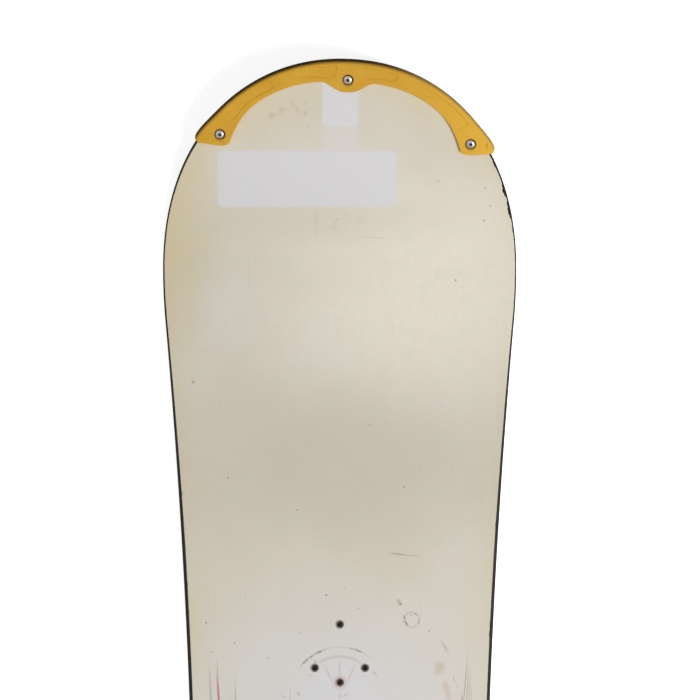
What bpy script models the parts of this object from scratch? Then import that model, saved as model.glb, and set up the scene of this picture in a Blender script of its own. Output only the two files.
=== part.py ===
"""A snowboard with screwed-on tip guards, built up layer by layer as the real one is laid up.

Units are metres. +Y points at the nose, +Z up from the running surface, +X to the right of
someone looking from tail to nose. The origin is on the floor under the middle of the board.

Every layer starts as a flat blank whose points are (x, s, t): x across, s along the surface
from the waist, t up through the stack. The blank is drawn with the core as thin as it is at
the tips. raise_core() then adds the core's real thickness, drill() bores the holes, and press()
bends the blank to the shape of the press, with both ends kicked up.
"""

import math

import bmesh
import bpy
from mathutils import Matrix, Vector

# Plan shape, flat, before the ends are pressed up
HALF_RUN = 0.620  # waist to widest point, where the kick begins
WAIST_HALF_WIDTH = 0.1253
SIDECUT_RADIUS = 6.455
SHOULDER_LENGTH = 0.046  # the sidecut eases into the widest point over this length
TIP_LENGTH = 0.1824  # widest point to the very tip, along the surface
TIP_EXPONENT = 2.1  # the tip is a superellipse: 2 is an ellipse, more is squarer

# Kick of the nose and the tail
KICK_RADIUS = 0.300
KICK_ANGLE = math.radians(22)

# Layers, from the snow up. Neighbouring solids keep the gap SEAM.
SEAM = 0.0003
EDGE_HEIGHT = 0.0018
EDGE_WIDTH = 0.0020
EDGE_FLANGE = 0.0004
EDGE_FLANGE_REACH = 0.0040
LAMINATE = 0.0005
CORE_TIP = 0.0010
CORE_MIDDLE = 0.0053
CORE_TAPER_LENGTH = 0.240  # the core thins over this length before the widest point
CORE_SETBACK = 0.020  # the core stops this far before the widest point
TOPSHEET = 0.0005
SIDEWALL_WIDTH = 0.0085
SIDEWALL_LEAN = 0.42  # how far the side slopes in for each unit of height above the edge

# M6 inserts, at the corners of equilateral triangles on a circle of radius INSERT_CIRCLE.
# The bore, neck, flange and hole are radii too.
INSERT_CIRCLE = 0.025
STANCE_STEP = 0.025
STANCE_WIDTH = 0.540
STANCE_SETBACK = 0.020
INSERT_BORE = 0.0025
INSERT_NECK = 0.0045
INSERT_FLANGE = 0.0085
INSERT_FLANGE_HEIGHT = 0.0012
INSERT_FLOOR = 0.0010
TOPSHEET_HOLE = 0.0040

# Tip guards: one moulded band that wraps the edge of each tip
GUARD_WALL = 0.0015
GUARD_CLEARANCE = 0.0016  # room around the board's edge, so that a guard can sit askew
GUARD_FLANGE = 0.0030
GUARD_FOOT = 0.0004  # height of the wall's lower rim above the running surface
GUARD_END_MARGIN = 0.0180  # along the tip's edge, from the end screw to the guard's end
GUARD_BAND = 0.0113  # how far the band reaches in over the topsheet
GUARD_SWELL = 0.0027  # a long low swell of the band around the centreline
GUARD_SWELL_SPAN = 0.070
CENTRE_LOBE = 0.0096
CENTRE_LOBE_SPAN = 0.0285
END_LOBE = 0.0105
END_LOBE_SPAN = 0.042
GUARD_SKEW = 0.48  # how far the end line runs back for each unit of depth
GUARD_SKEW_LENGTH = 0.040
GUARD_INNER_CORNER = 0.0060
GUARD_OUTER_CORNER = 0.0008
GUARD_ROLL = 0.0024
GUARD_CHAMFER = 0.0007
NOSE_GUARD_TURN = math.radians(-2.4)  # the nose guard is screwed on slightly askew
TAIL_GUARD_TURN = 0.0

# Guard screws and their barrel nuts. The shank, head, socket and neck are radii.
END_SCREW_ALONG = 0.1364  # along the tip's edge from the centreline
CENTRE_SCREW_SETBACK = 0.0021  # how much farther in the centre screw lies than the end ones
SCREW_SHANK = 0.0020
SCREW_HEAD = 0.0040
SCREW_HEAD_HEIGHT = 0.0022
SCREW_HEAD_FLAT = 0.0018  # the dome starts at this radius and ends at the rim's height
SCREW_HEAD_RIM = 0.0006
SCREW_COUNTERBORE_DEPTH = 0.0013
SCREW_COUNTERBORE_GAP = 0.0006
SCREW_SOCKET = 0.0014
SCREW_SOCKET_DEPTH = 0.0012
SCREW_TIP_GAP = 0.0004
NUT_MARGIN = 0.0027  # base left between a nut's head and the steel edge's flange
NUT_HEAD = 0.0045
NUT_NECK = 0.0031
NUT_FLOOR = 0.0004
NUT_RECESS = 0.0002  # the nut's head lies this far inside the running surface

# Facets of round shapes
KICK_FACETS = 8
SIDE_STEPS = 5
SHOULDER_STEPS = 3
TIP_STEPS = 14
ROLL_STEPS = 3
GUARD_STEPS = 22
GUARD_CORNER_STEPS = 4
SCREW_SIDES = 16
HOLE_SIDES = 12
SOCKET_SIDES = 6
DOME_STEPS = 2
EDGE_SAMPLES = 240  # points at which the length along the tip's edge is measured
SHEET_SMOOTH_ANGLE = math.radians(25)
TURNED_SMOOTH_ANGLE = math.radians(35)
TOLERANCE = 0.00001  # points closer than this are one point

# Heights in the stack at the tips
BASE_REBATE = EDGE_HEIGHT - EDGE_FLANGE - SEAM
LOWER_LAMINATE_FLOOR = EDGE_HEIGHT + SEAM
CORE_FLOOR = LOWER_LAMINATE_FLOOR + LAMINATE + SEAM
UPPER_LAMINATE_FLOOR = CORE_FLOOR + CORE_TIP + SEAM
TOPSHEET_FLOOR = UPPER_LAMINATE_FLOOR + LAMINATE + SEAM
TIP_DECK = TOPSHEET_FLOOR + TOPSHEET
GUARD_UNDERSIDE = TIP_DECK + SEAM
GUARD_TOP = GUARD_UNDERSIDE + GUARD_FLANGE
FULL_CORE_GAIN = CORE_MIDDLE - CORE_TIP

# Places that follow from the sizes above
CORE_HALF_LENGTH = HALF_RUN - CORE_SETBACK
GUARD_LENGTH = END_SCREW_ALONG + GUARD_END_MARGIN
END_SCREW_INSET = EDGE_FLANGE_REACH + NUT_MARGIN + NUT_HEAD
CENTRE_SCREW_INSET = END_SCREW_INSET + CENTRE_SCREW_SETBACK
FRONT_PACK = STANCE_WIDTH / 2 - STANCE_SETBACK
REAR_PACK = -STANCE_WIDTH / 2 - STANCE_SETBACK
OVERCUT = 0.002  # how far a cutter passes the face that it opens

# Material: colour, roughness, metallic
FINISHES = {
    "topsheet": ((0.66, 0.61, 0.51), 0.45, 0.0),
    "laminate": ((0.05, 0.05, 0.05), 0.60, 0.0),
    "wood": ((0.62, 0.45, 0.26), 0.70, 0.0),
    "sidewall": ((0.02, 0.02, 0.02), 0.50, 0.0),
    "base": ((0.03, 0.03, 0.035), 0.40, 0.0),
    "edge_steel": ((0.35, 0.34, 0.33), 0.40, 1.0),
    "guard": ((0.62, 0.36, 0.04), 0.45, 0.0),
    "stainless": ((0.62, 0.61, 0.60), 0.25, 1.0),
}


def clear_scene():
    for old in list(bpy.data.objects):
        bpy.data.objects.remove(old, do_unlink=True)


def new_collection(name):
    collection = bpy.data.collections.new(name)
    bpy.context.scene.collection.children.link(collection)
    return collection


def finish_of(name):
    colour, roughness, metallic = FINISHES[name]
    material = bpy.data.materials.new(name)
    material.use_nodes = True
    shader = material.node_tree.nodes["Principled BSDF"]
    shader.inputs["Base Color"].default_value = (*colour, 1.0)
    shader.inputs["Roughness"].default_value = roughness
    shader.inputs["Metallic"].default_value = metallic
    material.diffuse_color = (*colour, 1.0)
    return material


# Plan shape


def widest_half_width():
    """Half the width where the sidecut ends and the tip begins."""
    sidecut_end = HALF_RUN - SHOULDER_LENGTH
    slope = sidecut_end / SIDECUT_RADIUS
    return WAIST_HALF_WIDTH + sidecut_end**2 / (2 * SIDECUT_RADIUS) + slope * SHOULDER_LENGTH / 2


def half_width(s):
    """Half the board's width between the two widest points."""
    along = abs(s)
    sidecut_end = HALF_RUN - SHOULDER_LENGTH
    if along <= sidecut_end:
        return WAIST_HALF_WIDTH + along**2 / (2 * SIDECUT_RADIUS)
    slope = sidecut_end / SIDECUT_RADIUS
    return widest_half_width() - slope * (HALF_RUN - along) ** 2 / (2 * SHOULDER_LENGTH)


def tip_point(turn):
    """A point of the tip's superellipse, seen from its middle: turn 0 is the side, 90 degrees the tip."""
    power = 2 / TIP_EXPONENT
    x = widest_half_width() * max(0.0, math.cos(turn)) ** power
    return Vector((x, TIP_LENGTH * math.sin(turn) ** power))


def right_edge():
    """The right half of the outline, from the nose's tip to the tail's, as (x, s) points."""
    quarter = [tip_point(math.pi / 2 * (1 - i / TIP_STEPS)) for i in range(TIP_STEPS + 1)]
    quarter = [Vector((p.x, p.y + HALF_RUN)) for p in quarter]
    quarter[0].x = 0.0
    for i in range(1, SHOULDER_STEPS + 1):
        s = HALF_RUN - SHOULDER_LENGTH * i / SHOULDER_STEPS
        quarter.append(Vector((half_width(s), s)))
    for i in range(1, SIDE_STEPS + 1):
        s = (HALF_RUN - SHOULDER_LENGTH) * (1 - i / SIDE_STEPS)
        quarter.append(Vector((half_width(s), s)))
    return quarter + [Vector((p.x, -p.y)) for p in reversed(quarter[:-1])]


def inward_normals(path):
    """For each point of right_edge(), the unit vector that points into the board."""
    mirrored_start = Vector((-path[1].x, path[1].y))
    mirrored_end = Vector((-path[-2].x, path[-2].y))
    framed = [mirrored_start, *path, mirrored_end]
    normals = []
    for before, after in zip(framed, framed[2:]):
        along = (after - before).normalized()
        normals.append(Vector((along.y, -along.x)))
    return normals


def core_gain(s):
    """How much thicker the core is at s than at the tips."""
    share = (HALF_RUN - abs(s)) / CORE_TAPER_LENGTH
    return FULL_CORE_GAIN * min(1.0, max(0.0, share))


def real_height(t, s):
    """The height that a point of the flat blank reaches once the core has its thickness."""
    share = min(1.0, max(0.0, (t - CORE_FLOOR) / CORE_TIP))
    return t + share * core_gain(s)


def lean(t, s):
    """How far the sloping side lies inside the steel edge at this height."""
    return SIDEWALL_LEAN * max(0.0, real_height(t, s) - EDGE_HEIGHT)


def outline_ring(t, inset_at, first=None, last=None):
    """The board's outline at height t, drawn in by inset_at(s), as a closed ring.

    first and last cut the ring off square at those stations.
    """
    path = right_edge()
    normals = inward_normals(path)
    right = []
    for point, normal in zip(path, normals):
        moved = point + normal * inset_at(point.y)
        if (last is None or point.y < last - SEAM) and (first is None or point.y > first + SEAM):
            right.append(moved)
    if last is not None:
        right.insert(0, Vector((half_width(last) - inset_at(last), last)))
    if first is not None:
        right.append(Vector((half_width(first) - inset_at(first), first)))
    left = [Vector((-p.x, p.y)) for p in reversed(right) if p.x > SEAM]
    return [(p.x, p.y, t) for p in right + left]


# Blanks


def skin(rings):
    """A closed mesh over rings that hold as many points each, with a face across both ends."""
    bm = bmesh.new()
    loops = [[bm.verts.new(point) for point in ring] for ring in rings]
    for near, far in zip(loops, loops[1:]):
        for i, corner in enumerate(near):
            j = (i + 1) % len(near)
            bm.faces.new((corner, near[j], far[j], far[i]))
    bm.faces.new(loops[0])
    bm.faces.new(loops[-1])
    bmesh.ops.recalc_face_normals(bm, faces=bm.faces)
    return bm


def stations():
    """Where the pressed shape changes direction or thickness: blanks are cut across there."""
    arc = KICK_RADIUS * KICK_ANGLE
    taper_start = HALF_RUN - CORE_TAPER_LENGTH
    ahead = [taper_start] + [HALF_RUN + arc * i / KICK_FACETS for i in range(KICK_FACETS + 1)]
    return [-s for s in reversed(ahead)] + ahead


def cut_across(bm):
    for s in stations():
        everything = [*bm.verts, *bm.edges, *bm.faces]
        bmesh.ops.bisect_plane(bm, geom=everything, plane_co=(0, s, 0), plane_no=(0, 1, 0), dist=TOLERANCE / 10)


def raise_core(bm):
    for vertex in bm.verts:
        vertex.co.z = real_height(vertex.co.z, vertex.co.y)


def as_object(bm, name, collection):
    mesh = bpy.data.meshes.new(name)
    bm.to_mesh(mesh)
    bm.free()
    made = bpy.data.objects.new(name, mesh)
    collection.objects.link(made)
    return made


def drill(blank, holes, radius, low, high, sides=HOLE_SIDES):
    """Bores the blank at each (x, s) of holes, from height low to high."""
    bm = bmesh.new()
    for x, s in holes:
        middle = Matrix.Translation((x, s, (low + high) / 2))
        bmesh.ops.create_cone(
            bm, cap_ends=True, segments=sides, radius1=radius, radius2=radius, depth=high - low, matrix=middle
        )
    cut_with(blank, as_object(bm, blank.name + "_drill", cutters))


def cut_with(blank, cutter):
    """Takes the cutter away from the blank, and gives the blank the mesh that is left."""
    cutter.hide_render = True
    cutter.display_type = "WIRE"
    boolean = blank.modifiers.new("cut", "BOOLEAN")
    boolean.operation = "DIFFERENCE"
    boolean.object = cutter
    graph = bpy.context.evaluated_depsgraph_get()
    cut = bpy.data.meshes.new_from_object(blank.evaluated_get(graph))
    blank.modifiers.clear()
    blank.data = cut


# The press: a polyline along the running surface, with the stack's up direction at each station


def spine():
    """(s, y, z, up_y, up_z) at each bend of the running surface, from the waist to past the tip."""
    bends = [(0.0, 0.0, 0.0, 0.0, 1.0)]
    for i in range(KICK_FACETS + 1):
        angle = KICK_ANGLE * i / KICK_FACETS
        y = HALF_RUN + KICK_RADIUS * math.sin(angle)
        z = KICK_RADIUS * (1 - math.cos(angle))
        bends.append((HALF_RUN + KICK_RADIUS * angle, y, z, -math.sin(angle), math.cos(angle)))
    s, y, z, up_y, up_z = bends[-1]
    straight = TIP_LENGTH
    bends.append((s + straight, y + straight * up_z, z - straight * up_y, up_y, up_z))
    return bends


def pressed_frame(s):
    """Where the running surface is at s, and which way the stack points there."""
    bends = spine()
    along = abs(s)
    index = max(i for i, bend in enumerate(bends[:-1]) if bend[0] <= along)
    low, high = bends[index], bends[index + 1]
    share = (along - low[0]) / (high[0] - low[0])
    y, z, up_y, up_z = (a + (b - a) * share for a, b in zip(low[1:], high[1:]))
    side = 1 if s >= 0 else -1
    return Vector((0, side * y, z)), Vector((0, side * up_y, up_z))


def press(blank, finish, collection):
    """Bends the flat blank to the pressed shape, and puts the finished piece in its collection."""
    for vertex in blank.data.vertices:
        x, s, t = vertex.co
        foot, up = pressed_frame(s)
        vertex.co = foot + up * t + Vector((x, 0, 0))
    for other in list(blank.users_collection):
        other.objects.unlink(blank)
    collection.objects.link(blank)
    blank.data.materials.clear()
    blank.data.materials.append(finish)
    blank.data.shade_smooth()
    blank.data.set_sharp_from_angle(angle=SHEET_SMOOTH_ANGLE)
    return blank


def seat(piece, x, s, t):
    """Places a turned piece so that its own origin is at (x, s, t), square to the pressed surface."""
    foot, up = pressed_frame(s)
    piece.location = foot + up * t + Vector((x, 0, 0))
    piece.rotation_euler = up.to_track_quat("Z", "Y").to_euler()
    return piece


# Where the holes are


def insert_pack(centre):
    """(x, s) of the eight inserts under one foot: two pairs, and four on the centreline."""
    rise = 1.5 * INSERT_CIRCLE
    half_pair = INSERT_CIRCLE * math.sqrt(3) / 2
    holes = []
    for pair, toward in ((centre + STANCE_STEP, 1), (centre - STANCE_STEP, -1)):
        single = pair - toward * INSERT_CIRCLE / 2
        holes += [(0.0, pair + toward * rise), (-half_pair, pair), (half_pair, pair), (0.0, single)]
    return holes


def edge_at(along):
    """The tip's edge at a distance along it from the centreline, with its inward direction."""
    path = [tip_point(math.pi / 2 * (1 - i / EDGE_SAMPLES)) for i in range(EDGE_SAMPLES + 1)]
    travelled = 0.0
    for near, far in zip(path, path[1:]):
        step = (far - near).length
        if travelled + step >= along:
            direction = (far - near).normalized()
            point = near + direction * (along - travelled)
            inward = Vector((direction.y, -direction.x))
            return point, inward if along > 0 else Vector((0.0, -1.0))
        travelled += step
    return path[-1], Vector((-1.0, 0.0))


def guard_screw_places():
    """(x, s) of the three screws of a guard, seen from the middle of the tip."""
    edge, inward = edge_at(END_SCREW_ALONG)
    end = edge + inward * END_SCREW_INSET
    centre = TIP_LENGTH - CENTRE_SCREW_INSET
    return [(-end.x, end.y), (0.0, centre), (end.x, end.y)]


def on_board(x, s, turn, end):
    """Turns a point of a guard about the middle of its tip and moves it to the nose or the tail."""
    turned = Matrix.Rotation(turn, 2) @ Vector((x, s))
    return end * turned.x, end * (turned.y + HALF_RUN)


# Pieces


def make_layer(name, rings, finish, drillings=()):
    """A layer of the board from its flat rings. drillings holds drill()'s arguments."""
    bm = skin(rings)
    cut_across(bm)
    raise_core(bm)
    blank = as_object(bm, name, parts)
    for drilling in drillings:
        drill(blank, *drilling)
    return press(blank, finish, parts)


def make_base(nut_holes):
    outer = EDGE_WIDTH + SEAM
    inner = EDGE_FLANGE_REACH + SEAM
    rings = [
        outline_ring(0.0, lambda s: outer),
        outline_ring(BASE_REBATE, lambda s: outer),
        outline_ring(BASE_REBATE, lambda s: inner),
        outline_ring(EDGE_HEIGHT, lambda s: inner),
    ]
    through = (nut_holes, NUT_HEAD + SEAM, -OVERCUT, EDGE_HEIGHT + OVERCUT)
    make_layer("base_sheet", rings, finishes["base"], [through])


def make_steel_edge(name, side):
    """Half of the steel edge: an L section swept from the nose's tip to the tail's."""
    section = [
        (0.0, 0.0),
        (0.0, EDGE_HEIGHT),
        (EDGE_FLANGE_REACH, EDGE_HEIGHT),
        (EDGE_FLANGE_REACH, EDGE_HEIGHT - EDGE_FLANGE),
        (EDGE_WIDTH, EDGE_HEIGHT - EDGE_FLANGE),
        (EDGE_WIDTH, 0.0),
    ]
    path = right_edge()
    rings = []
    for point, normal in zip(path, inward_normals(path)):
        ring = []
        for inset, t in section:
            corner = point + normal * inset
            ring.append((side * max(corner.x, SEAM / 2), corner.y, t))
        rings.append(ring)
    make_layer(name, rings, finishes["edge_steel"])


def make_full_layer(name, floor, thickness, finish, drillings, first=None, last=None):
    """A layer that reaches the sloping side of the board, whole or cut off at first or last."""
    rings = [
        outline_ring(t, lambda s, t=t: lean(t, s), first, last) for t in (floor, floor + thickness)
    ]
    make_layer(name, rings, finish, drillings)


def make_core(insert_holes):
    top = CORE_FLOOR + CORE_TIP
    inset = SIDEWALL_WIDTH + SEAM
    rings = [
        outline_ring(t, lambda s: inset, -CORE_HALF_LENGTH, CORE_HALF_LENGTH) for t in (CORE_FLOOR, top)
    ]
    ceiling = top + FULL_CORE_GAIN + OVERCUT
    pocket_top = CORE_FLOOR + INSERT_FLANGE_HEIGHT + SEAM
    necks = (insert_holes, INSERT_NECK + SEAM, CORE_FLOOR - OVERCUT, ceiling)
    pockets = (insert_holes, INSERT_FLANGE + SEAM, CORE_FLOOR - OVERCUT, pocket_top)
    make_layer("wood_core", rings, finishes["wood"], [necks, pockets])


def make_sidewall(name, side):
    """The plastic strip along one side of the core, with its sloping outer face."""
    shoulder = HALF_RUN - SHOULDER_LENGTH
    halves = [shoulder * i / SIDE_STEPS for i in range(1, SIDE_STEPS + 1)] + [CORE_HALF_LENGTH]
    along = [-s for s in reversed(halves)] + [0.0] + halves
    rings = []
    for t in (CORE_FLOOR, CORE_FLOOR + CORE_TIP):
        outer = [(side * (half_width(s) - lean(t, s)), s, t) for s in along]
        inner = [(side * (half_width(s) - SIDEWALL_WIDTH), s, t) for s in reversed(along)]
        rings.append(outer + inner)
    make_layer(name, rings, finishes["sidewall"])


def turned_mesh(name, profile, finish, sides=HOLE_SIDES):
    """A mesh turned about Z from (radius, height) points that run down the outer side."""
    bm = bmesh.new()
    corners = [bm.verts.new((radius, 0, height)) for radius, height in profile]
    for above, below in zip(corners, corners[1:]):
        bm.edges.new((above, below))
    blank = as_object(bm, name + "_profile", cutters)
    screw = blank.modifiers.new("turn", "SCREW")
    screw.steps = sides
    screw.render_steps = sides
    screw.use_merge_vertices = True
    screw.merge_threshold = TOLERANCE
    graph = bpy.context.evaluated_depsgraph_get()
    mesh = bpy.data.meshes.new_from_object(blank.evaluated_get(graph))
    bpy.data.objects.remove(blank)
    mesh.name = name
    mesh.materials.append(finish)
    mesh.shade_smooth()
    mesh.set_sharp_from_angle(angle=TURNED_SMOOTH_ANGLE)
    return mesh


def make_inserts():
    """Sixteen flanged M6 inserts, each standing on the lower laminate under a hole in the topsheet."""
    neck_top = UPPER_LAMINATE_FLOOR + FULL_CORE_GAIN + LAMINATE - CORE_FLOOR
    profile = [
        (0.0, INSERT_FLOOR),
        (INSERT_BORE, INSERT_FLOOR),
        (INSERT_BORE, neck_top),
        (INSERT_NECK, neck_top),
        (INSERT_NECK, INSERT_FLANGE_HEIGHT),
        (INSERT_FLANGE, INSERT_FLANGE_HEIGHT),
        (INSERT_FLANGE, 0.0),
        (0.0, 0.0),
    ]
    mesh = turned_mesh("insert", profile, finishes["stainless"])
    for foot, centre in (("front", FRONT_PACK), ("rear", REAR_PACK)):
        for number, (x, s) in enumerate(insert_pack(centre), start=1):
            insert = bpy.data.objects.new(f"insert_{foot}_{number}", mesh)
            parts.objects.link(insert)
            seat(insert, x, s, CORE_FLOOR)


def guard_depth(along):
    """How far the guard reaches in from the board's edge: a band with a lobe at each screw."""
    depth = GUARD_BAND
    for place, height, span in (
        (0.0, GUARD_SWELL, GUARD_SWELL_SPAN),
        (0.0, CENTRE_LOBE, CENTRE_LOBE_SPAN),
        (END_SCREW_ALONG, END_LOBE, END_LOBE_SPAN),
    ):
        away = abs(along - place) / span
        if away < 1:
            depth += height * math.cos(math.pi / 2 * away) ** 2
    return depth


def guard_stations():
    """(along, corner) of the guard's sections from the centreline to its end.

    corner is how far the end's rounding has come: 0 before it starts, 1 at the end.
    """
    straight = GUARD_LENGTH - GUARD_INNER_CORNER
    even = [(straight * i / GUARD_STEPS, 0.0) for i in range(GUARD_STEPS + 1)]
    rounded = []
    for i in range(1, GUARD_CORNER_STEPS + 1):
        turn = math.pi / 2 * i / GUARD_CORNER_STEPS
        rounded.append((straight + GUARD_INNER_CORNER * math.sin(turn), 1 - math.cos(turn)))
    return even + rounded


def guard_section(along, corner):
    """The guard's section at one station, as (x, s, t) points of the tip."""
    start = GUARD_LENGTH - GUARD_SKEW_LENGTH
    skew = GUARD_SKEW * max(0.0, along - start) / GUARD_SKEW_LENGTH
    inner = guard_depth(along - skew * guard_depth(along)) - GUARD_INNER_CORNER * corner
    outer = GUARD_OUTER_CORNER * corner - GUARD_CLEARANCE - GUARD_WALL
    section = [(outer, GUARD_FOOT)]
    for i in range(ROLL_STEPS + 1):
        turn = math.pi / 2 * i / ROLL_STEPS
        depth = outer + GUARD_ROLL * (1 - math.cos(turn))
        section.append((depth, GUARD_TOP - GUARD_ROLL * (1 - math.sin(turn))))
    section += [
        (inner - GUARD_CHAMFER, GUARD_TOP),
        (inner, GUARD_TOP - GUARD_CHAMFER),
        (inner, GUARD_UNDERSIDE),
        (-GUARD_CLEARANCE, GUARD_UNDERSIDE),
        (-GUARD_CLEARANCE, GUARD_FOOT),
    ]
    points = []
    for depth, t in section:
        edge, inward = edge_at(along - skew * depth)
        point = edge + inward * depth
        points.append((point.x, point.y, t))
    return points


def make_guard(name, turn, end):
    """One tip guard: end is 1 for the nose and -1 for the tail."""
    right = [guard_section(along, corner) for along, corner in guard_stations()]
    left = [[(-x, s, t) for x, s, t in section] for section in reversed(right[1:])]
    blank = as_object(skin(left + right), name, parts)
    floor = GUARD_TOP - SCREW_COUNTERBORE_DEPTH
    places = guard_screw_places()
    drill(blank, places, SCREW_SHANK + SEAM, GUARD_FOOT - OVERCUT, GUARD_TOP + OVERCUT)
    drill(blank, places, SCREW_HEAD + SCREW_COUNTERBORE_GAP, floor, GUARD_TOP + OVERCUT, SCREW_SIDES)
    bm = bmesh.new()
    bm.from_mesh(blank.data)
    for vertex in bm.verts:
        vertex.co.x, vertex.co.y = on_board(vertex.co.x, vertex.co.y, turn, end)
    cut_across(bm)
    bm.to_mesh(blank.data)
    bm.free()
    press(blank, finishes["guard"], parts)


def screw_mesh():
    """A domed machine screw with a hexagon socket, its head's underside at height 0."""
    head_floor = GUARD_TOP - SCREW_COUNTERBORE_DEPTH + SEAM
    bore_floor = EDGE_HEIGHT + NUT_FLOOR
    shank_length = head_floor - bore_floor - SCREW_TIP_GAP
    profile = [(0.0, SCREW_HEAD_HEIGHT)]
    for i in range(DOME_STEPS + 1):
        turn = math.pi / 2 * i / DOME_STEPS
        radius = SCREW_HEAD_FLAT + (SCREW_HEAD - SCREW_HEAD_FLAT) * math.sin(turn)
        height = SCREW_HEAD_RIM + (SCREW_HEAD_HEIGHT - SCREW_HEAD_RIM) * math.cos(turn)
        profile.append((radius, height))
    profile += [
        (SCREW_HEAD, 0.0),
        (SCREW_SHANK, 0.0),
        (SCREW_SHANK, -shank_length),
        (0.0, -shank_length),
    ]
    turned = turned_mesh("screw", profile, finishes["stainless"], SCREW_SIDES)
    blank = bpy.data.objects.new("screw_blank", turned)
    cutters.objects.link(blank)
    floor = SCREW_HEAD_HEIGHT - SCREW_SOCKET_DEPTH
    drill(blank, [(0.0, 0.0)], SCREW_SOCKET, floor, SCREW_HEAD_HEIGHT + OVERCUT, SOCKET_SIDES)
    mesh = blank.data
    bpy.data.objects.remove(blank)
    return mesh, head_floor


def nut_mesh():
    """A barrel nut: a flat head in the running surface and a threaded neck up through the board."""
    neck_top = TIP_DECK - NUT_RECESS
    head_top = EDGE_HEIGHT - NUT_RECESS
    profile = [
        (0.0, head_top + NUT_FLOOR),
        (SCREW_SHANK + SEAM, head_top + NUT_FLOOR),
        (SCREW_SHANK + SEAM, neck_top),
        (NUT_NECK, neck_top),
        (NUT_NECK, head_top),
        (NUT_HEAD, head_top),
        (NUT_HEAD, 0.0),
        (0.0, 0.0),
    ]
    return turned_mesh("barrel_nut", profile, finishes["stainless"])


def make_guard_fasteners(place_names):
    """Three screws and three barrel nuts for each guard."""
    screw, head_floor = screw_mesh()
    nut = nut_mesh()
    for place, turn, end in place_names:
        for number, (x, s) in enumerate(guard_screw_places(), start=1):
            x, s = on_board(x, s, turn, end)
            for kind, mesh, height in (("screw", screw, head_floor), ("nut", nut, NUT_RECESS)):
                fastener = bpy.data.objects.new(f"{place}_guard_{kind}_{number}", mesh)
                parts.objects.link(fastener)
                seat(fastener, x, s, height)


def main():
    inserts = insert_pack(FRONT_PACK) + insert_pack(REAR_PACK)
    ends = [("nose", NOSE_GUARD_TURN, 1), ("tail", TAIL_GUARD_TURN, -1)]
    bolts = {
        place: [on_board(x, s, turn, end) for x, s in guard_screw_places()] for place, turn, end in ends
    }
    all_bolts = bolts["nose"] + bolts["tail"]
    top = TIP_DECK + FULL_CORE_GAIN + OVERCUT
    bolt_hole = NUT_NECK + SEAM

    make_base(all_bolts)
    make_steel_edge("steel_edge_right", 1)
    make_steel_edge("steel_edge_left", -1)
    through_bolts = (all_bolts, bolt_hole, 0.0, top)
    make_full_layer("lower_laminate", LOWER_LAMINATE_FLOOR, LAMINATE, finishes["laminate"], [through_bolts])
    make_core(inserts)
    make_sidewall("sidewall_right", 1)
    make_sidewall("sidewall_left", -1)
    spacer_start = CORE_HALF_LENGTH + SEAM
    for name, place, first, last in (
        ("nose_spacer", "nose", spacer_start, None),
        ("tail_spacer", "tail", None, -spacer_start),
    ):
        spacer_bolts = (bolts[place], bolt_hole, 0.0, top)
        make_full_layer(name, CORE_FLOOR, CORE_TIP, finishes["sidewall"], [spacer_bolts], first, last)
    through_inserts = (inserts, INSERT_NECK + SEAM, 0.0, top)
    make_full_layer(
        "upper_laminate",
        UPPER_LAMINATE_FLOOR,
        LAMINATE,
        finishes["laminate"],
        [through_bolts, through_inserts],
    )
    insert_openings = (inserts, TOPSHEET_HOLE, 0.0, top)
    make_full_layer(
        "topsheet", TOPSHEET_FLOOR, TOPSHEET, finishes["topsheet"], [through_bolts, insert_openings]
    )
    make_inserts()
    for place, turn, end in ends:
        make_guard(f"{place}_guard", turn, end)
    make_guard_fasteners(ends)


clear_scene()
parts = new_collection("snowboard")
cutters = new_collection("cutters")
finishes = {name: finish_of(name) for name in FINISHES}
main()
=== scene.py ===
# %% [markdown]
# This lesson dresses a used snowboard: a cream deck with black sides, steel edges, a yellow
# plastic guard screwed round each tip, and threaded inserts for the bindings.
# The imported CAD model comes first, as a frame that nothing here may move. Every piece below is
# drawn on the same few formulas as that model, only finer, so that it lands exactly on its node.
# %% Load the frame
import math
import random
from bisect import bisect_left

import bpy
from mathutils import Matrix, Vector


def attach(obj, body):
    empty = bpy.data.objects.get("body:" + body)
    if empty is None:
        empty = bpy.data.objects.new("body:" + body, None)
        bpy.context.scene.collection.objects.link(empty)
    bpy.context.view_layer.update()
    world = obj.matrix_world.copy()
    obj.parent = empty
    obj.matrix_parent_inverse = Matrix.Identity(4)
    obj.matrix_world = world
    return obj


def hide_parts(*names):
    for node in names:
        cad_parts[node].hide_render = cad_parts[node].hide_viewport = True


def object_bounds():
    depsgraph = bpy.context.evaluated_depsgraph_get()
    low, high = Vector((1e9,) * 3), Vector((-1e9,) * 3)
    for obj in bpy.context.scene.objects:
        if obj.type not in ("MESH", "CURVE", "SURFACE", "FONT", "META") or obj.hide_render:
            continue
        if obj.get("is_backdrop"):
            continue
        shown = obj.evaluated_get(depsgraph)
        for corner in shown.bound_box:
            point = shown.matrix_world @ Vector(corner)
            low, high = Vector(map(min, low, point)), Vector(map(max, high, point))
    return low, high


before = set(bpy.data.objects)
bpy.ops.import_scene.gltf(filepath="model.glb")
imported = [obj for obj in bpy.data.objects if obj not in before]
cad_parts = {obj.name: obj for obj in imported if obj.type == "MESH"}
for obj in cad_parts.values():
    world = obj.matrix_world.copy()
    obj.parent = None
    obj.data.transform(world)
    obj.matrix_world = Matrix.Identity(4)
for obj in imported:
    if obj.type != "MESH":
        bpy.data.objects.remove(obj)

cad_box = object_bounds()


def in_mm(values, digits=1):
    return [round(value * 1000, digits) for value in values]


print("nodes in the frame:", len(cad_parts))
print("CAD box in mm:", [in_mm(corner) for corner in cad_box])

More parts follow.
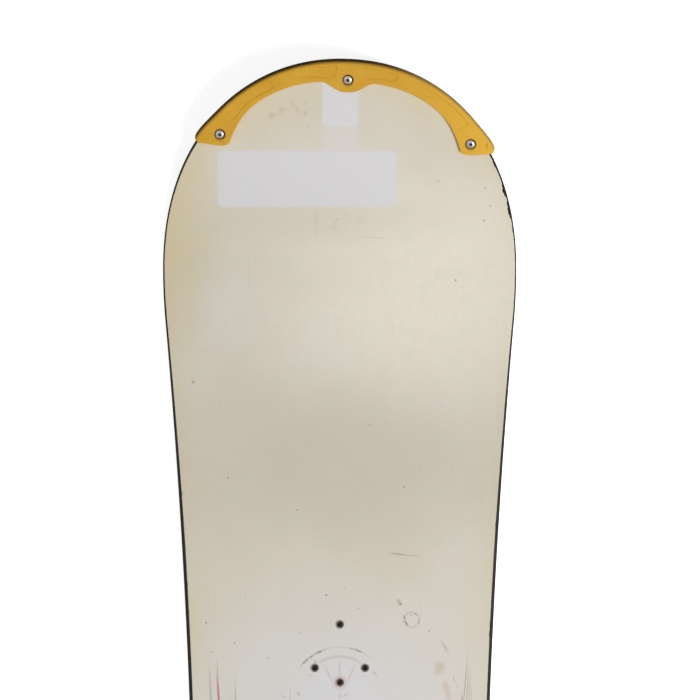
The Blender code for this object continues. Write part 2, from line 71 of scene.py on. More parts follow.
# %% [markdown]
# A snowboard is symmetrical in plan. Each side is a long shallow arc, the sidecut, that eases
# into the widest point, and each tip is a superellipse, a slightly squared ellipse.
# We could draw it with a curve, but a formula gives the edge at any fineness, and its inward
# direction as well, which every layer, edge and guard needs. x is the distance from the
# centreline and s the distance from the waist, along the flat board.
# %% The plan shape, in metres
HALF_RUN = 0.620
WAIST_HALF_WIDTH = 0.1253
SIDECUT_RADIUS = 6.455
SHOULDER_LENGTH = 0.046
TIP_LENGTH = 0.1824
TIP_EXPONENT = 2.1
SIDECUT_END = HALF_RUN - SHOULDER_LENGTH
SHOULDER_SLOPE = SIDECUT_END / SIDECUT_RADIUS
WIDEST = (
    WAIST_HALF_WIDTH + SIDECUT_END**2 / (2 * SIDECUT_RADIUS) + SHOULDER_SLOPE * SHOULDER_LENGTH / 2
)


def half_width(s):
    """Half the board's width at the distance s from the waist."""
    along = abs(s)
    if along <= SIDECUT_END:
        return WAIST_HALF_WIDTH + along**2 / (2 * SIDECUT_RADIUS)
    return WIDEST - SHOULDER_SLOPE * (HALF_RUN - along) ** 2 / (2 * SHOULDER_LENGTH)


def tip_point(turn):
    """A point on the tip seen from its middle: turn 0 is the side, a quarter turn the very tip."""
    power = 2 / TIP_EXPONENT
    x = WIDEST * max(0.0, math.cos(turn)) ** power
    return Vector((x, TIP_LENGTH * max(0.0, math.sin(turn)) ** power))


def spread_evenly(path, count):
    """count + 1 points at equal steps along a path."""
    travelled = [0.0]
    for near, far in zip(path, path[1:]):
        travelled.append(travelled[-1] + (far - near).length)
    spread, segment = [], 0
    for i in range(count + 1):
        wanted = travelled[-1] * i / count
        while segment < len(path) - 2 and travelled[segment + 1] < wanted:
            segment += 1
        share = (wanted - travelled[segment]) / (travelled[segment + 1] - travelled[segment])
        spread.append(path[segment].lerp(path[segment + 1], share))
    return spread


print("half width at the waist and at the widest in mm:", in_mm((WAIST_HALF_WIDTH, WIDEST)))

# %% [markdown]
# Board and guards need points at even steps along the edge, so one quarter of it is drawn very
# finely, walked along, and mirrored twice. Curve to Mesh would space them evenly as well, but
# not with a point exactly on the tip and on the waist.
# %% The whole outline
FINE_STEPS = 900
TIP_PATH = [tip_point(math.pi / 2 * (1 - i / FINE_STEPS)) for i in range(FINE_STEPS + 1)]
QUARTER = [Vector((p.x, p.y + HALF_RUN)) for p in TIP_PATH]
for i in range(1, FINE_STEPS + 1):
    s = HALF_RUN * (1 - i / FINE_STEPS)
    QUARTER.append(Vector((half_width(s), s)))


def outline(count):
    """The edge as count points, anticlockwise from the nose, and the inward direction at each."""
    quarter = spread_evenly(QUARTER, count // 4)
    quarter[0].x = 0.0
    left_nose = [Vector((-p.x, p.y)) for p in quarter]
    left_tail = [Vector((p.x, -p.y)) for p in reversed(left_nose[:-1])]
    rim = left_nose + left_tail[:-1]
    rim += [-p for p in rim]
    inward = []
    for i in range(count):
        along = rim[(i + 1) % count] - rim[i - 1]
        inward.append(Vector((-along.y, along.x)).normalized())
    return rim, inward


rim = outline(400)[0]
around = sum((near - far).length for near, far in zip(rim, rim[1:] + rim[:1]))
print("length of the whole edge in mm:", round(around * 1000))

# %% [markdown]
# The board is a sandwich: base and steel edges, glass laminate, wood core between plastic
# sidewalls, laminate, topsheet. It is laid up flat and pressed, and the core is thickest in the
# middle. We do the same: each layer is drawn flat, in x, s and height t, gets the core's
# thickness, and is then bent by the press: an arc of 300 mm radius, then a straight tip.
# %% The stack and the press
EDGE_HEIGHT = 0.0018
EDGE_WIDTH = 0.0020
EDGE_FLANGE = 0.0004
EDGE_FLANGE_REACH = 0.0040
LAMINATE_TOP = 0.0026
CORE_FLOOR = 0.0029
CORE_TIP = 0.0010  # the core's thickness at the tips
CORE_TOP = CORE_FLOOR + CORE_TIP
TOPSHEET_FLOOR = 0.0050
DECK = 0.0055
FULL_CORE_GAIN = 0.0043  # what the core is thicker in the middle
DECK_TOP = DECK + FULL_CORE_GAIN
CORE_TAPER_LENGTH = 0.240
CORE_HALF_LENGTH = 0.600
SIDEWALL_WIDTH = 0.0085
SIDEWALL_LEAN = 0.42  # how far the side slopes in for each metre of height
HAIRLINE = 0.00003  # left between neighbours, so that no two faces lie in one place
KICK_RADIUS = 0.300
KICK_ANGLE = math.radians(22)


def core_gain(s):
    """How much thicker the core is at s than at the tips."""
    share = (HALF_RUN - abs(s)) / CORE_TAPER_LENGTH
    return FULL_CORE_GAIN * min(1.0, max(0.0, share))


def with_core(t, s):
    """The height of a point of the flat blank once the core has its thickness."""
    share = min(1.0, max(0.0, (t - CORE_FLOOR) / CORE_TIP))
    return t + share * core_gain(s)


def lean(t, s):
    """How far the sloping side lies inside the steel edge."""
    return SIDEWALL_LEAN * max(0.0, with_core(t, s) - EDGE_HEIGHT)


def pressed_frame(s):
    """The running surface at s, and the direction in which the stack points there."""
    side = 1 if s >= 0 else -1
    bent = min(max(0.0, abs(s) - HALF_RUN) / KICK_RADIUS, KICK_ANGLE)
    straight = max(0.0, abs(s) - HALF_RUN - KICK_RADIUS * KICK_ANGLE)
    y = min(abs(s), HALF_RUN) + KICK_RADIUS * math.sin(bent) + straight * math.cos(bent)
    z = KICK_RADIUS * (1 - math.cos(bent)) + straight * math.sin(bent)
    return Vector((0, side * y, z)), Vector((0, -side * math.sin(bent), math.cos(bent)))


def pressed(x, s, t):
    """The place in the pressed board of a point of the flat one."""
    foot, up = pressed_frame(s)
    return foot + up * t + Vector((x, 0, 0))


print("tip of the deck in mm:", in_mm(pressed(0, HALF_RUN + TIP_LENGTH, DECK)))

# %% [markdown]
# All round and board-shaped pieces start as the same thing: a circle, extruded upwards once for
# each further corner of the section. Each ring of that stack is then moved to its place, either
# onto the board's outline or to a radius, as a builder would with proportional moves by hand.
# %% Start a piece as a stack of rings
RING_STEP = 1  # metre, so that a point's height is the number of its ring


def select_only(piece):
    bpy.ops.object.select_all(action="DESELECT")
    piece.select_set(True)
    bpy.context.view_layer.objects.active = piece


def edit_all(piece):
    select_only(piece)
    bpy.ops.object.mode_set(mode="EDIT")
    bpy.ops.mesh.select_all(action="SELECT")


def leave_edit():
    bpy.ops.object.mode_set(mode="OBJECT")


def ring_stack(name, count, levels, fill="NOTHING"):
    """levels rings of count points each, on top of each other. The first one may be filled."""
    bpy.ops.object.select_all(action="DESELECT")
    bpy.ops.mesh.primitive_circle_add(vertices=count, radius=1, fill_type=fill)
    piece = bpy.context.active_object
    piece.name = piece.data.name = name
    edit_all(piece)
    for _ in range(levels - 1):
        bpy.ops.mesh.extrude_region_move(TRANSFORM_OT_translate={"value": (0, 0, RING_STEP)})
    leave_edit()
    return piece


def turn_of(vertex):
    """The turn of a ring's vertex, anticlockwise from +Y."""
    return math.atan2(-vertex.co.x, vertex.co.y) % math.tau


def lay_on_outline(piece, count, section):
    """Moves each ring onto the outline. section has its inset and height, and the inset may be
    a function of the point on the rim."""
    rim, inward = outline(count)
    for vertex in piece.data.vertices:
        point = round(turn_of(vertex) / math.tau * count) % count
        inset, t = section[round(vertex.co.z)]
        depth = inset(rim[point]) if callable(inset) else inset
        x, s = rim[point] + inward[point] * depth
        vertex.co = (x, s, t)


print("rings of a fresh stack are", RING_STEP, "m apart")

# %% [markdown]
# A few jobs come back for every piece: weld the points that lie on each other, bend the flat
# blank in the press, cut it across first where the press will bend it, and saw a side off. The
# bisect operator does the cutting. A Simple Deform modifier could bend it, but only as one arc.
# %% Weld, cut, saw and press
WELD_DISTANCE = 1e-7
CUT_TOLERANCE = 1e-6
KICK_STEPS = 22
KICK_ARC = KICK_RADIUS * KICK_ANGLE
CUTS_AHEAD = [HALF_RUN - CORE_TAPER_LENGTH]
CUTS_AHEAD += [HALF_RUN + KICK_ARC * i / KICK_STEPS for i in range(KICK_STEPS + 1)]


def merge_and_turn_out(piece):
    """Welds doubled points and points all faces outwards."""
    edit_all(piece)
    bpy.ops.mesh.remove_doubles(threshold=WELD_DISTANCE)
    bpy.ops.mesh.normals_make_consistent(inside=False)
    leave_edit()


def press(piece):
    """Gives a flat blank the core's thickness and bends it."""
    for vertex in piece.data.vertices:
        x, s, t = vertex.co
        vertex.co = pressed(x, s, with_core(t, s))


def cut_across(piece):
    """Cuts the flat blank wherever the press will bend it."""
    for s in CUTS_AHEAD + [-s for s in CUTS_AHEAD]:
        edit_all(piece)
        bpy.ops.mesh.bisect(plane_co=(0, s, 0), plane_no=(0, 1, 0), threshold=CUT_TOLERANCE)
        leave_edit()


def keep_side(piece, point, normal):
    """Saws the piece along a plane, keeps the side that the normal points to, and caps the cut."""
    plane = {"plane_co": point, "plane_no": normal}
    edit_all(piece)
    bpy.ops.mesh.bisect(**plane, use_fill=True, clear_inner=True, threshold=CUT_TOLERANCE)
    leave_edit()


print("cuts across each blank:", 2 * len(CUTS_AHEAD))

# %% [markdown]
# Holes are drilled as in a workshop: a cone stands at each place, all cones are joined, and one
# Boolean modifier takes them away together. A finished piece is shaded smooth up to an angle,
# so that sawn corners stay crisp, and takes the place of its node of the frame, which is hidden.
# %% Drill and finish a piece
BODY = "root"
ROUND_SIDES = 48
SMOOTH_DEGREES = 30


def smooth(piece, degrees=SMOOTH_DEGREES):
    select_only(piece)
    bpy.ops.object.shade_smooth_by_angle(angle=math.radians(degrees))


def hand_over(piece, node, material):
    """Gives a finished piece its material, puts it on the body, and hides the node of the frame
    that it stands for.
    """
    piece.data.materials.clear()
    piece.data.materials.append(material)
    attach(piece, BODY)
    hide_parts(node)


def cut_away(piece, cutter):
    """Takes the cutter's shape away from the piece, and the cutter from the scene."""
    boolean = piece.modifiers.new("cut", "BOOLEAN")
    boolean.operation = "DIFFERENCE"
    boolean.object = cutter
    select_only(piece)
    bpy.ops.object.modifier_apply(modifier=boolean.name)
    bpy.data.objects.remove(cutter)


def drill(piece, places, radius, low, high, flare=0.0, sides=ROUND_SIDES):
    """Drills a hole at each (x, s). With a flare the drill is a cone that is wider at the top."""
    drills = []
    for x, s in places:
        bpy.ops.mesh.primitive_cone_add(
            vertices=sides,
            radius1=radius,
            radius2=radius + flare,
            depth=high - low,
            location=(x, s, (low + high) / 2),
        )
        drills.append(bpy.context.active_object)
    bpy.ops.object.select_all(action="DESELECT")
    for tool in drills:
        tool.select_set(True)
    bpy.context.view_layer.objects.active = drills[0]
    bpy.ops.object.join()
    bpy.ops.object.transform_apply(location=True, rotation=True, scale=True)
    cut_away(piece, drills[0])


print("every piece rides on the body", BODY)

# %% [markdown]
# Colours are written as sRGB hex values, as a paint chart gives them, and one function turns
# them into the linear values that a shader needs. One more function adds a node with its
# settings and its links, and returns an output, so that materials read like sums.
# %% Colours and nodes
def linear(hex_colour):
    """An sRGB hex value as linear red, green, blue and alpha."""
    channels = [int(hex_colour[i : i + 2], 16) / 255 for i in (1, 3, 5)]
    return (*[c / 12.92 if c <= 0.04045 else ((c + 0.055) / 1.055) ** 2.4 for c in channels], 1.0)


def add(tree, kind, links=None, out=0, **settings):
    """Adds a node. links holds a value or another node's output for each input."""
    made = tree.nodes.new("ShaderNode" + kind)
    for name, value in settings.items():
        setattr(made, name, value)
    for socket, value in (links or {}).items():
        if isinstance(value, bpy.types.NodeSocket):
            tree.links.new(value, made.inputs[socket])
        else:
            made.inputs[socket].default_value = value
    return made.outputs[out]


def new_material(name):
    """An empty material with its shader, and the place in mm that every pattern starts from."""
    material = bpy.data.materials.new(name)
    material.use_nodes = True
    tree = material.node_tree
    shader = tree.nodes["Principled BSDF"]
    metres = add(tree, "TexCoord", out="Object")
    mm = add(tree, "VectorMath", {0: metres, "Scale": 1000.0}, operation="SCALE")
    return material, tree, shader, mm


def stain(tree, colour, mask, shade, amount=1.0):
    """Lays a shade over a colour, where the mask says."""
    share = add(tree, "Math", {0: mask, 1: amount}, operation="MULTIPLY", use_clamp=True)
    return add(tree, "Mix", {0: share, 6: colour, 7: linear(shade)}, out=2, data_type="RGBA")


def finish_surface(tree, shader, colour, roughness, height, depth_mm):
    """Connects colour and roughness, and a bump whose full height is depth_mm."""
    tree.links.new(colour, shader.inputs["Base Color"])
    tree.links.new(roughness, shader.inputs["Roughness"])
    normal = add(tree, "Bump", {"Strength": 1.0, "Distance": depth_mm / 1000, "Height": height})
    tree.links.new(normal, shader.inputs["Normal"])


print("#808080 in linear light:", round(linear("#808080")[0], 3))

# %% [markdown]
# Marks on the deck are soft shapes laid over the sheet's colour: a spot is an ellipse that fades
# to its rim, a streak is a thin spot between two points, a patch is a rounded rectangle, and an
# arc is part of a ring. Painting an image would be quicker, but these stay sharp at any size.
# Cycles works a material out node by node and has little room to keep results, so each shape
# goes from a Mapping node straight into a gradient, and is laid over the colour at once.
# %% Shapes of marks, in mm
FAR = 1e6  # a scale so large that the height drops out


def spot(tree, mm, centre, size, turn=0.0, soft=0.9):
    """An ellipse of a width and length. soft is the share of its radius that it fades over."""
    place = {"Vector": mm, "Location": (*centre, 0), "Rotation": (0, 0, turn)}
    place["Scale"] = (size[0] / 2, size[1] / 2, FAR)
    local = add(tree, "Mapping", place, vector_type="TEXTURE")
    rise = add(tree, "TexGradient", {0: local}, out="Fac", gradient_type="SPHERICAL")
    return add(tree, "MapRange", {0: rise, 2: soft}, interpolation_type="SMOOTHSTEP")


def streak(tree, mm, start, end, width, soft=0.9):
    """A thin spot from start to end."""
    along = Vector(end) - Vector(start)
    middle = (Vector(start) + Vector(end)) / 2
    turn = math.atan2(along.y, along.x) - math.pi / 2
    return spot(tree, mm, tuple(middle), (width, along.length), turn, soft)


def patch(tree, mm, centre, size, corner=3.5, feather=2.0):
    """A rectangle with rounded corners, worked out from how far a point lies beyond its core."""
    moved = add(tree, "VectorMath", {0: mm, 1: (*centre, 0)}, operation="SUBTRACT")
    moved = add(tree, "VectorMath", {0: moved, 1: (1, 1, 0)}, operation="MULTIPLY")
    folded = add(tree, "VectorMath", {0: moved}, operation="ABSOLUTE")
    inner = (size[0] / 2 - corner, size[1] / 2 - corner, 0)
    beyond = add(tree, "VectorMath", {0: folded, 1: inner}, operation="SUBTRACT")
    beyond = add(tree, "VectorMath", {0: beyond, 1: (0, 0, 0)}, operation="MAXIMUM")
    away = add(tree, "VectorMath", {0: beyond}, out="Value", operation="LENGTH")
    limits = {0: away, 1: corner + feather / 2, 2: corner - feather / 2}
    return add(tree, "MapRange", limits, interpolation_type="SMOOTHSTEP")


def ring(tree, mm, centre, radius, width):
    """A soft band that is width wide, with its middle at the radius."""
    reach = radius + width
    place = {"Vector": mm, "Location": (*centre, 0), "Scale": (reach, reach, FAR)}
    local = add(tree, "Mapping", place, vector_type="TEXTURE")
    rise = add(tree, "TexGradient", {0: local}, out="Fac", gradient_type="SPHERICAL")
    off = add(tree, "Math", {0: rise, 1: width / reach}, operation="SUBTRACT")
    off = add(tree, "Math", {0: off}, operation="ABSOLUTE")
    limits = {0: off, 1: width / 2 / reach, 2: 0.0}
    return add(tree, "MapRange", limits, interpolation_type="SMOOTHSTEP")


def arc(tree, mm, centre, radius, width, middle, spread):
    """Part of a ring: middle is the direction of its middle, spread half its angle, in degrees."""
    band = ring(tree, mm, centre, radius, width)
    place = {"Vector": mm, "Location": (*centre, 0), "Rotation": (0, 0, math.radians(middle))}
    local = add(tree, "Mapping", place, vector_type="TEXTURE")
    turned = add(tree, "TexGradient", {0: local}, out="Fac", gradient_type="RADIAL")
    off = add(tree, "Math", {0: turned, 1: 0.5}, operation="SUBTRACT")
    off = add(tree, "Math", {0: off}, operation="ABSOLUTE")
    limits = {0: off, 1: spread / 360, 2: spread / 720}
    window = add(tree, "MapRange", limits, interpolation_type="SMOOTHSTEP")
    return add(tree, "Math", {0: band, 1: window}, operation="MULTIPLY")


def most_of(tree, masks):
    """The strongest of several masks. Each is made when its turn comes, and joined at once."""
    strongest = None
    for mask in masks:
        if strongest is None:
            strongest = mask
        else:
            strongest = add(tree, "Math", {0: strongest, 1: mask}, operation="MAXIMUM")
    return strongest


print("marks are drawn on the deck's plane: heights are divided by", FAR)

# %% [markdown]
# The topsheet is a thin polyamide sheet, printed from below and satin on top. On this board it
# is plain and old: the plastic has gone cream, more so near the edges, and stayed whiter where
# it was covered and around the bindings. Straps, buckles and the binding's disc left scuffs,
# arcs and streaks. We build the aged colour first, then add each kind of mark.
# %% Topsheet colours and places, in mm
PALE_CREAM = "#D3CDC2"
DARK_CREAM = "#C6BCA6"
YELLOWED = "#CAB98E"
STRAW = "#CCC29C"
RUBBED_WHITE = "#D1D0D0"
PAINTED_LIGHT_CREAM = "#EDE6D8"
PAINTED_SHADE_CREAM = "#B4AA95"
COVERED_WHITE = "#D2D1D5"
SCUFF_GREY = "#4A4641"
SOFT_GREY = "#958F88"
RED_RUB = "#A64A55"
PINK_RUB = "#BE8F8E"
RUST_BROWN = "#B39A7E"
ROSY_GREY = "#A59390"
DARK_SPECK = "#4A443C"
ROSY_CREAM = "#D3C2B6"
GREENISH_CREAM = "#C6C9B8"

FRONT_FOOT = (0.0, 250.0)
REAR_FOOT = (0.0, -290.0)
print("middles of the feet in mm:", FRONT_FOOT, REAR_FOOT)

# %% [markdown]
# Light and sweat yellow such a sheet from its edges inwards, so the colour needs to know how far
# a point lies from the edge. We could measure that on the mesh and keep it as an attribute, but
# the plan shape is a formula, and a few Math nodes work it out at every point.
# %% How far a point lies from the edge
def edge_distance(tree, mm):
    """About how many mm a point of the deck lies inside the board's outline."""
    x = add(tree, "SeparateXYZ", {0: mm}, out=0)
    y = x.node.outputs[1]
    across = add(tree, "Math", {0: x}, operation="ABSOLUTE")
    along = add(tree, "Math", {0: y}, operation="ABSOLUTE")
    bow = add(tree, "Math", {0: along, 1: 2.0}, operation="POWER")
    bow = add(tree, "Math", {0: bow, 1: 2000 * SIDECUT_RADIUS}, operation="DIVIDE")
    width = add(tree, "Math", {0: bow, 1: 1000 * WAIST_HALF_WIDTH}, operation="ADD")
    width = add(tree, "Math", {0: width, 1: 1000 * WIDEST}, operation="MINIMUM")
    share = add(tree, "Math", {0: across, 1: width}, operation="DIVIDE")
    tip = add(tree, "Math", {0: along, 1: 1000 * HALF_RUN}, operation="SUBTRACT")
    tip_reach = 1000 * TIP_LENGTH * math.cos(KICK_ANGLE)
    tip = add(tree, "Math", {0: tip, 1: tip_reach}, operation="DIVIDE")
    tip = add(tree, "Math", {0: tip, 1: 0.0}, operation="MAXIMUM")
    tip = add(tree, "Math", {0: tip, 1: TIP_EXPONENT}, operation="POWER")
    share = add(tree, "Math", {0: share, 1: TIP_EXPONENT}, operation="POWER")
    total = add(tree, "Math", {0: share, 1: tip}, operation="ADD")
    radius = add(tree, "Math", {0: total, 1: 1 / TIP_EXPONENT}, operation="POWER")
    inside = add(tree, "Math", {0: 1.0, 1: radius}, operation="SUBTRACT")
    return add(tree, "Math", {0: inside, 1: 1000 * WIDEST}, operation="MULTIPLY")


print("the middle of the deck lies", round(1000 * WIDEST), "mm inside the edge")

# %% [markdown]
# The aged colour is laid on from large to small: blotches the size of a hand, the yellowed rim,
# wide soft spots where the sheet is more or less faded, painted shade beyond each foot and painted
# light nearer each tip for the deck's slight rise and its kick under the lamp, and a faint rosy
# and greenish tint that changes over a centimetre or two, as it does on old plastic.
# %% The aged colour
YELLOWED_SPOTS = (  # place, size, amount
    ((-150, 655), (120, 330), 0.66),
    ((-75, 755), (190, 90), 0.34),
    ((70, 770), (110, 90), 0.28),
    ((150, 600), (60, 240), 0.12),
    ((140, -660), (120, 340), 0.5),
    ((-60, -740), (200, 110), 0.3),
)


def aged_cream(tree, mm):
    """The sheet's colour before any mark: blotchy cream, yellowed in from the edges, with painted
    shade and painted light beyond the feet.
    """
    hand_sized = {"Vector": mm, "Scale": 1 / 130, "Detail": 4.0, "Roughness": 0.55}
    blotches = add(tree, "TexNoise", hand_sized)
    blotches = add(tree, "MapRange", {0: blotches, 1: 0.35, 2: 0.68})
    colour = stain(tree, linear(PALE_CREAM), blotches, DARK_CREAM, 0.55)
    inside = edge_distance(tree, mm)
    wander = add(tree, "TexNoise", {"Vector": mm, "Scale": 1 / 60, "Detail": 3.0})
    wander = add(tree, "MapRange", {0: wander, 1: 0.3, 2: 0.7, 3: -7.0, 4: 7.0})
    inside = add(tree, "Math", {0: inside, 1: wander}, operation="ADD")
    rim = add(tree, "MapRange", {0: inside, 1: 16.0, 2: 1.0}, interpolation_type="SMOOTHSTEP")
    colour = stain(tree, colour, rim, YELLOWED, 0.3)
    rim = add(tree, "MapRange", {0: inside, 1: 44.0, 2: 8.0}, interpolation_type="SMOOTHSTEP")
    colour = stain(tree, colour, rim, STRAW, 0.2)
    for centre, size, amount in YELLOWED_SPOTS:
        colour = stain(tree, colour, spot(tree, mm, centre, size), YELLOWED, amount)
    for x, y in (FRONT_FOOT, REAR_FOOT):
        colour = stain(tree, colour, spot(tree, mm, (x, y - 14), (370, 290)), RUBBED_WHITE, 0.9)
    # Painted shade just beyond each foot, then painted light nearer the tip, for the deck's slight
    # rise and its kick catching the lamp.
    for x, y in (FRONT_FOOT, REAR_FOOT):
        side = 1 if y > 0 else -1
        painted_shade = spot(tree, mm, (x, y + side * 195), (560, 210))
        colour = stain(tree, colour, painted_shade, PAINTED_SHADE_CREAM, 0.42)
        painted_light = spot(tree, mm, (x + side * 75, y + side * 350), (430, 260))
        colour = stain(tree, colour, painted_light, PAINTED_LIGHT_CREAM, 0.75)
    colour = stain(tree, colour, spot(tree, mm, (-20, 662), (300, 60)), DARK_CREAM, 0.35)
    tint = add(tree, "TexNoise", {"Vector": mm, "Scale": 1 / 14, "Detail": 3.0, "Roughness": 0.6})
    rosy = add(tree, "MapRange", {0: tint, 1: 0.5, 2: 0.72})
    colour = stain(tree, colour, rosy, ROSY_CREAM, 0.22)
    green = add(tree, "MapRange", {0: tint, 1: 0.5, 2: 0.28})
    return stain(tree, colour, green, GREENISH_CREAM, 0.2)


topsheet_finish, tree, shader, mm = new_material("aged_polyamide_topsheet")
colour = aged_cream(tree, mm)
print("nodes for the aged colour:", len(tree.nodes))

# %% [markdown]
# Where the sheet was covered for years it stayed clean, in paler patches with soft edges. Rubbed
# smudges are grey and broken. Both are worn through by noise: a mark that is multiplied by noise
# looks rubbed, and one that isn't looks printed.
# %% Paler patches and smudges
PALE_PATCHES = (  # place, size, amount
    ((-28.2, 696.4), (153.4, 47.8), 1.0),
    ((0.4, 768.0), (31.0, 56.0), 1.0),
    ((0.4, 728.0), (31.0, 24.0), 0.4),
)


def weighted_patches(tree, mm, patches):
    for centre, size, amount in patches:
        shape = patch(tree, mm, centre, size, 5.0, 3.6)
        yield add(tree, "Math", {0: shape, 1: amount}, operation="MULTIPLY")


covered = most_of(tree, weighted_patches(tree, mm, PALE_PATCHES))
wear = add(tree, "TexNoise", {"Vector": mm, "Scale": 1 / 9, "Detail": 5.0})
wear = add(tree, "MapRange", {0: wear, 1: 0.2, 2: 0.6, 3: 0.75, 4: 1.0})
covered = add(tree, "Math", {0: covered, 1: wear}, operation="MULTIPLY")
colour = stain(tree, colour, covered, COVERED_WHITE, 0.95)

grain = add(tree, "TexNoise", {"Vector": mm, "Scale": 0.9, "Detail": 5.0, "Roughness": 0.65})
dry = add(tree, "MapRange", {0: grain, 1: 0.42, 2: 0.58})
coarse = add(tree, "TexNoise", {"Vector": mm, "Scale": 0.22, "Detail": 4.0, "Roughness": 0.7})
patchy = add(tree, "MapRange", {0: coarse, 1: 0.4, 2: 0.62})

SMUDGES = (  # place, size, turn, amount
    ((-58, 750), (13, 8), 0.5, 0.55),
    ((-49, 754), (9, 12), -0.4, 0.5),
    ((-37, 756), (7, 18), 0.6, 0.5),
    ((-30, 752), (12, 7), 0.2, 0.34),
    ((-27, 742), (5, 9), 0.3, 0.42),
    ((-30, 761), (6, 5), -0.3, 0.4),
    ((-34, 646), (12, 5), 0.3, 0.14),
    ((-19, 650), (5, 14), -0.3, 0.16),
    ((-8, 655), (10, 5), 0.2, 0.14),
    ((6, 666), (7, 14), 0.2, 0.12),
    ((22, 669), (11, 5), -0.2, 0.12),
    ((-118, 548), (14, 9), 0.0, 0.16),
)
GREY_FROM = 700  # mm: smudges beyond it, near the tip, are grey, and the others brown
for centre, size, turn, amount in SMUDGES:
    smudge = spot(tree, mm, centre, size, turn)
    smudge = add(tree, "Math", {0: smudge, 1: patchy}, operation="MULTIPLY")
    shade = SOFT_GREY if centre[1] > GREY_FROM else RUST_BROWN
    colour = stain(tree, colour, smudge, shade, amount)
print("nodes once patches and smudges are on:", len(tree.nodes))

# %% [markdown]
# Straps, buckles and boot heels draw grey streaks, most of them beside the bindings. Each one is
# a thin spot from one point to another, in mm, with a width and a strength. Those on the rear
# half are made up in the manner of the front ones, because the photograph ends before them.
# %% Grey streaks
GREY_STREAKS = (  # start, end, width, amount
    ((40.0, 374.4), (62, 371.6), 2.3, 0.55),
    ((52, 373.0), (73.5, 370.8), 1.8, 0.3),
    ((-112.9, 285), (-109.0, 205), 3.4, 0.4),
    ((-105.6, 287), (-105.0, 262), 1.2, 0.4),
    ((-90.3, 274), (-89.4, 212), 1.8, 0.5),
    ((-93.2, 258), (-92.4, 212), 1.4, 0.3),
    ((-96.5, 256), (-95.5, 212), 1.4, 0.35),
    ((111.3, 297), (104.6, 218), 1.1, 0.7),
    ((112.2, 289), (107.3, 212), 1.1, 0.6),
    ((113.4, 281), (109.6, 208), 1.2, 0.5),
    ((114.4, 270), (112.0, 204), 1.2, 0.45),
    ((109.0, 264), (102.0, 206), 1.4, 0.45),
    ((86.0, 302), (93.6, 288), 1.6, 0.4),
    ((55.2, 320.9), (56.6, 316.4), 1.5, 1.0),
    ((55.4, 316.4), (59.8, 310.4), 1.7, 1.0),
    ((64.0, 322.9), (67.3, 319.9), 1.3, 1.0),
    ((69.6, 318.4), (67.6, 311.6), 1.1, 0.6),
    ((61.0, 321.0), (62.6, 319.4), 1.2, 0.7),
    ((-20.4, 282.4), (-22.2, 277.8), 2.2, 0.6),
    ((-29.6, 269.6), (-22.4, 267.6), 1.6, 0.4),
    ((17.0, 266.6), (24.2, 268.6), 1.4, 0.5),
    ((26.4, 273.6), (33.6, 266.8), 1.8, 0.45),
    ((8.4, 253.8), (1.4, 249.0), 2.2, 0.8),
    ((0.4, 254.6), (-0.4, 246.0), 4.0, 0.5),
    ((98.0, 269.5), (99.4, 261), 1.0, 0.6),
    ((101.0, 262), (102.4, 256), 0.9, 0.45),
    ((-51.5, 252), (-44.5, 248), 1.6, 0.4),
    ((-37.5, 255), (-33.0, 250), 3.6, 0.35),
    ((-22.6, 259.5), (-17.6, 260.5), 1.3, 0.5),
    ((78, -372), (93, -369), 1.3, 0.6),
    ((-104, -322), (-110, -262), 1.0, 0.45),
    ((-101, -318), (-106.5, -256), 0.8, 0.5),
    ((-97.5, -309), (-102, -258), 0.8, 0.35),
    ((96.5, -331), (98.5, -270), 2.4, 0.3),
    ((104, -322), (106.5, -285), 1.2, 0.4),
    ((10.0, 646.6), (46.0, 646.0), 1.6, 0.2),
    ((-1.0, 664.0), (-3.2, 660.0), 2.4, 0.22),
)


def weighted_streaks(tree, mm, streaks, soft):
    for start, end, width, amount in streaks:
        line = streak(tree, mm, start, end, width, soft)
        yield add(tree, "Math", {0: line, 1: amount}, operation="MULTIPLY")


streaks = most_of(tree, weighted_streaks(tree, mm, GREY_STREAKS, 0.7))
colour = stain(tree, colour, streaks, SCUFF_GREY, 0.75)
print("grey streaks:", len(GREY_STREAKS))

# %% [markdown]
# A coloured binding or boot left red rubs beside the feet, and rust or leather left brown spots.
# A few small dark specks are placed one by one, where the eye would miss them.
# %% Red rubs, brown spots and single specks
RED_STREAKS = (
    ((-106.4, 280), (-102.8, 222), 2.8, 1.0),
    ((-104.6, 262), (-101.4, 200), 3.6, 0.75),
    ((106.3, 260), (103.0, 212), 3.6, 0.75),
    ((-99.0, -322), (-101.5, -284), 2.2, 0.7),
)
streaks = most_of(tree, weighted_streaks(tree, mm, RED_STREAKS, 0.8))
colour = stain(tree, colour, streaks, RED_RUB, 0.85)

BROWN_SPOTS = (  # place, size, turn, amount
    ((86.3, 275.6), (14, 15), 0.2, 0.5),
    ((-20.5, 661.0), (6, 26), 0.0, 0.16),
    ((-4.4, 656.0), (7, 14), 0.1, 0.18),
    ((18.0, 662.0), (16, 10), 0.0, 0.1),
    ((84.0, 271.0), (9, 10), 0.9, 0.25),
    ((91.6, 258.5), (9, 18), 0.35, 0.42),
    ((93.6, 250.5), (9, 14), 0.2, 0.3),
    ((91.5, 291.5), (6, 16), 0.5, 0.3),
    ((51.6, 331.0), (9.0, 6.0), -0.9, 0.7),
    ((-88.0, -300.0), (9, 14), -0.3, 0.4),
)
for centre, size, turn, amount in BROWN_SPOTS:
    brown = spot(tree, mm, centre, size, turn)
    colour = stain(tree, colour, brown, RUST_BROWN, amount)
for centre, size, turn in (((52.4, 330.0), (3.4, 1.9), -0.6), ((50.6, 333.4), (2.4, 1.2), -0.9)):
    colour = stain(tree, colour, spot(tree, mm, centre, size, turn), SCUFF_GREY, 0.85)

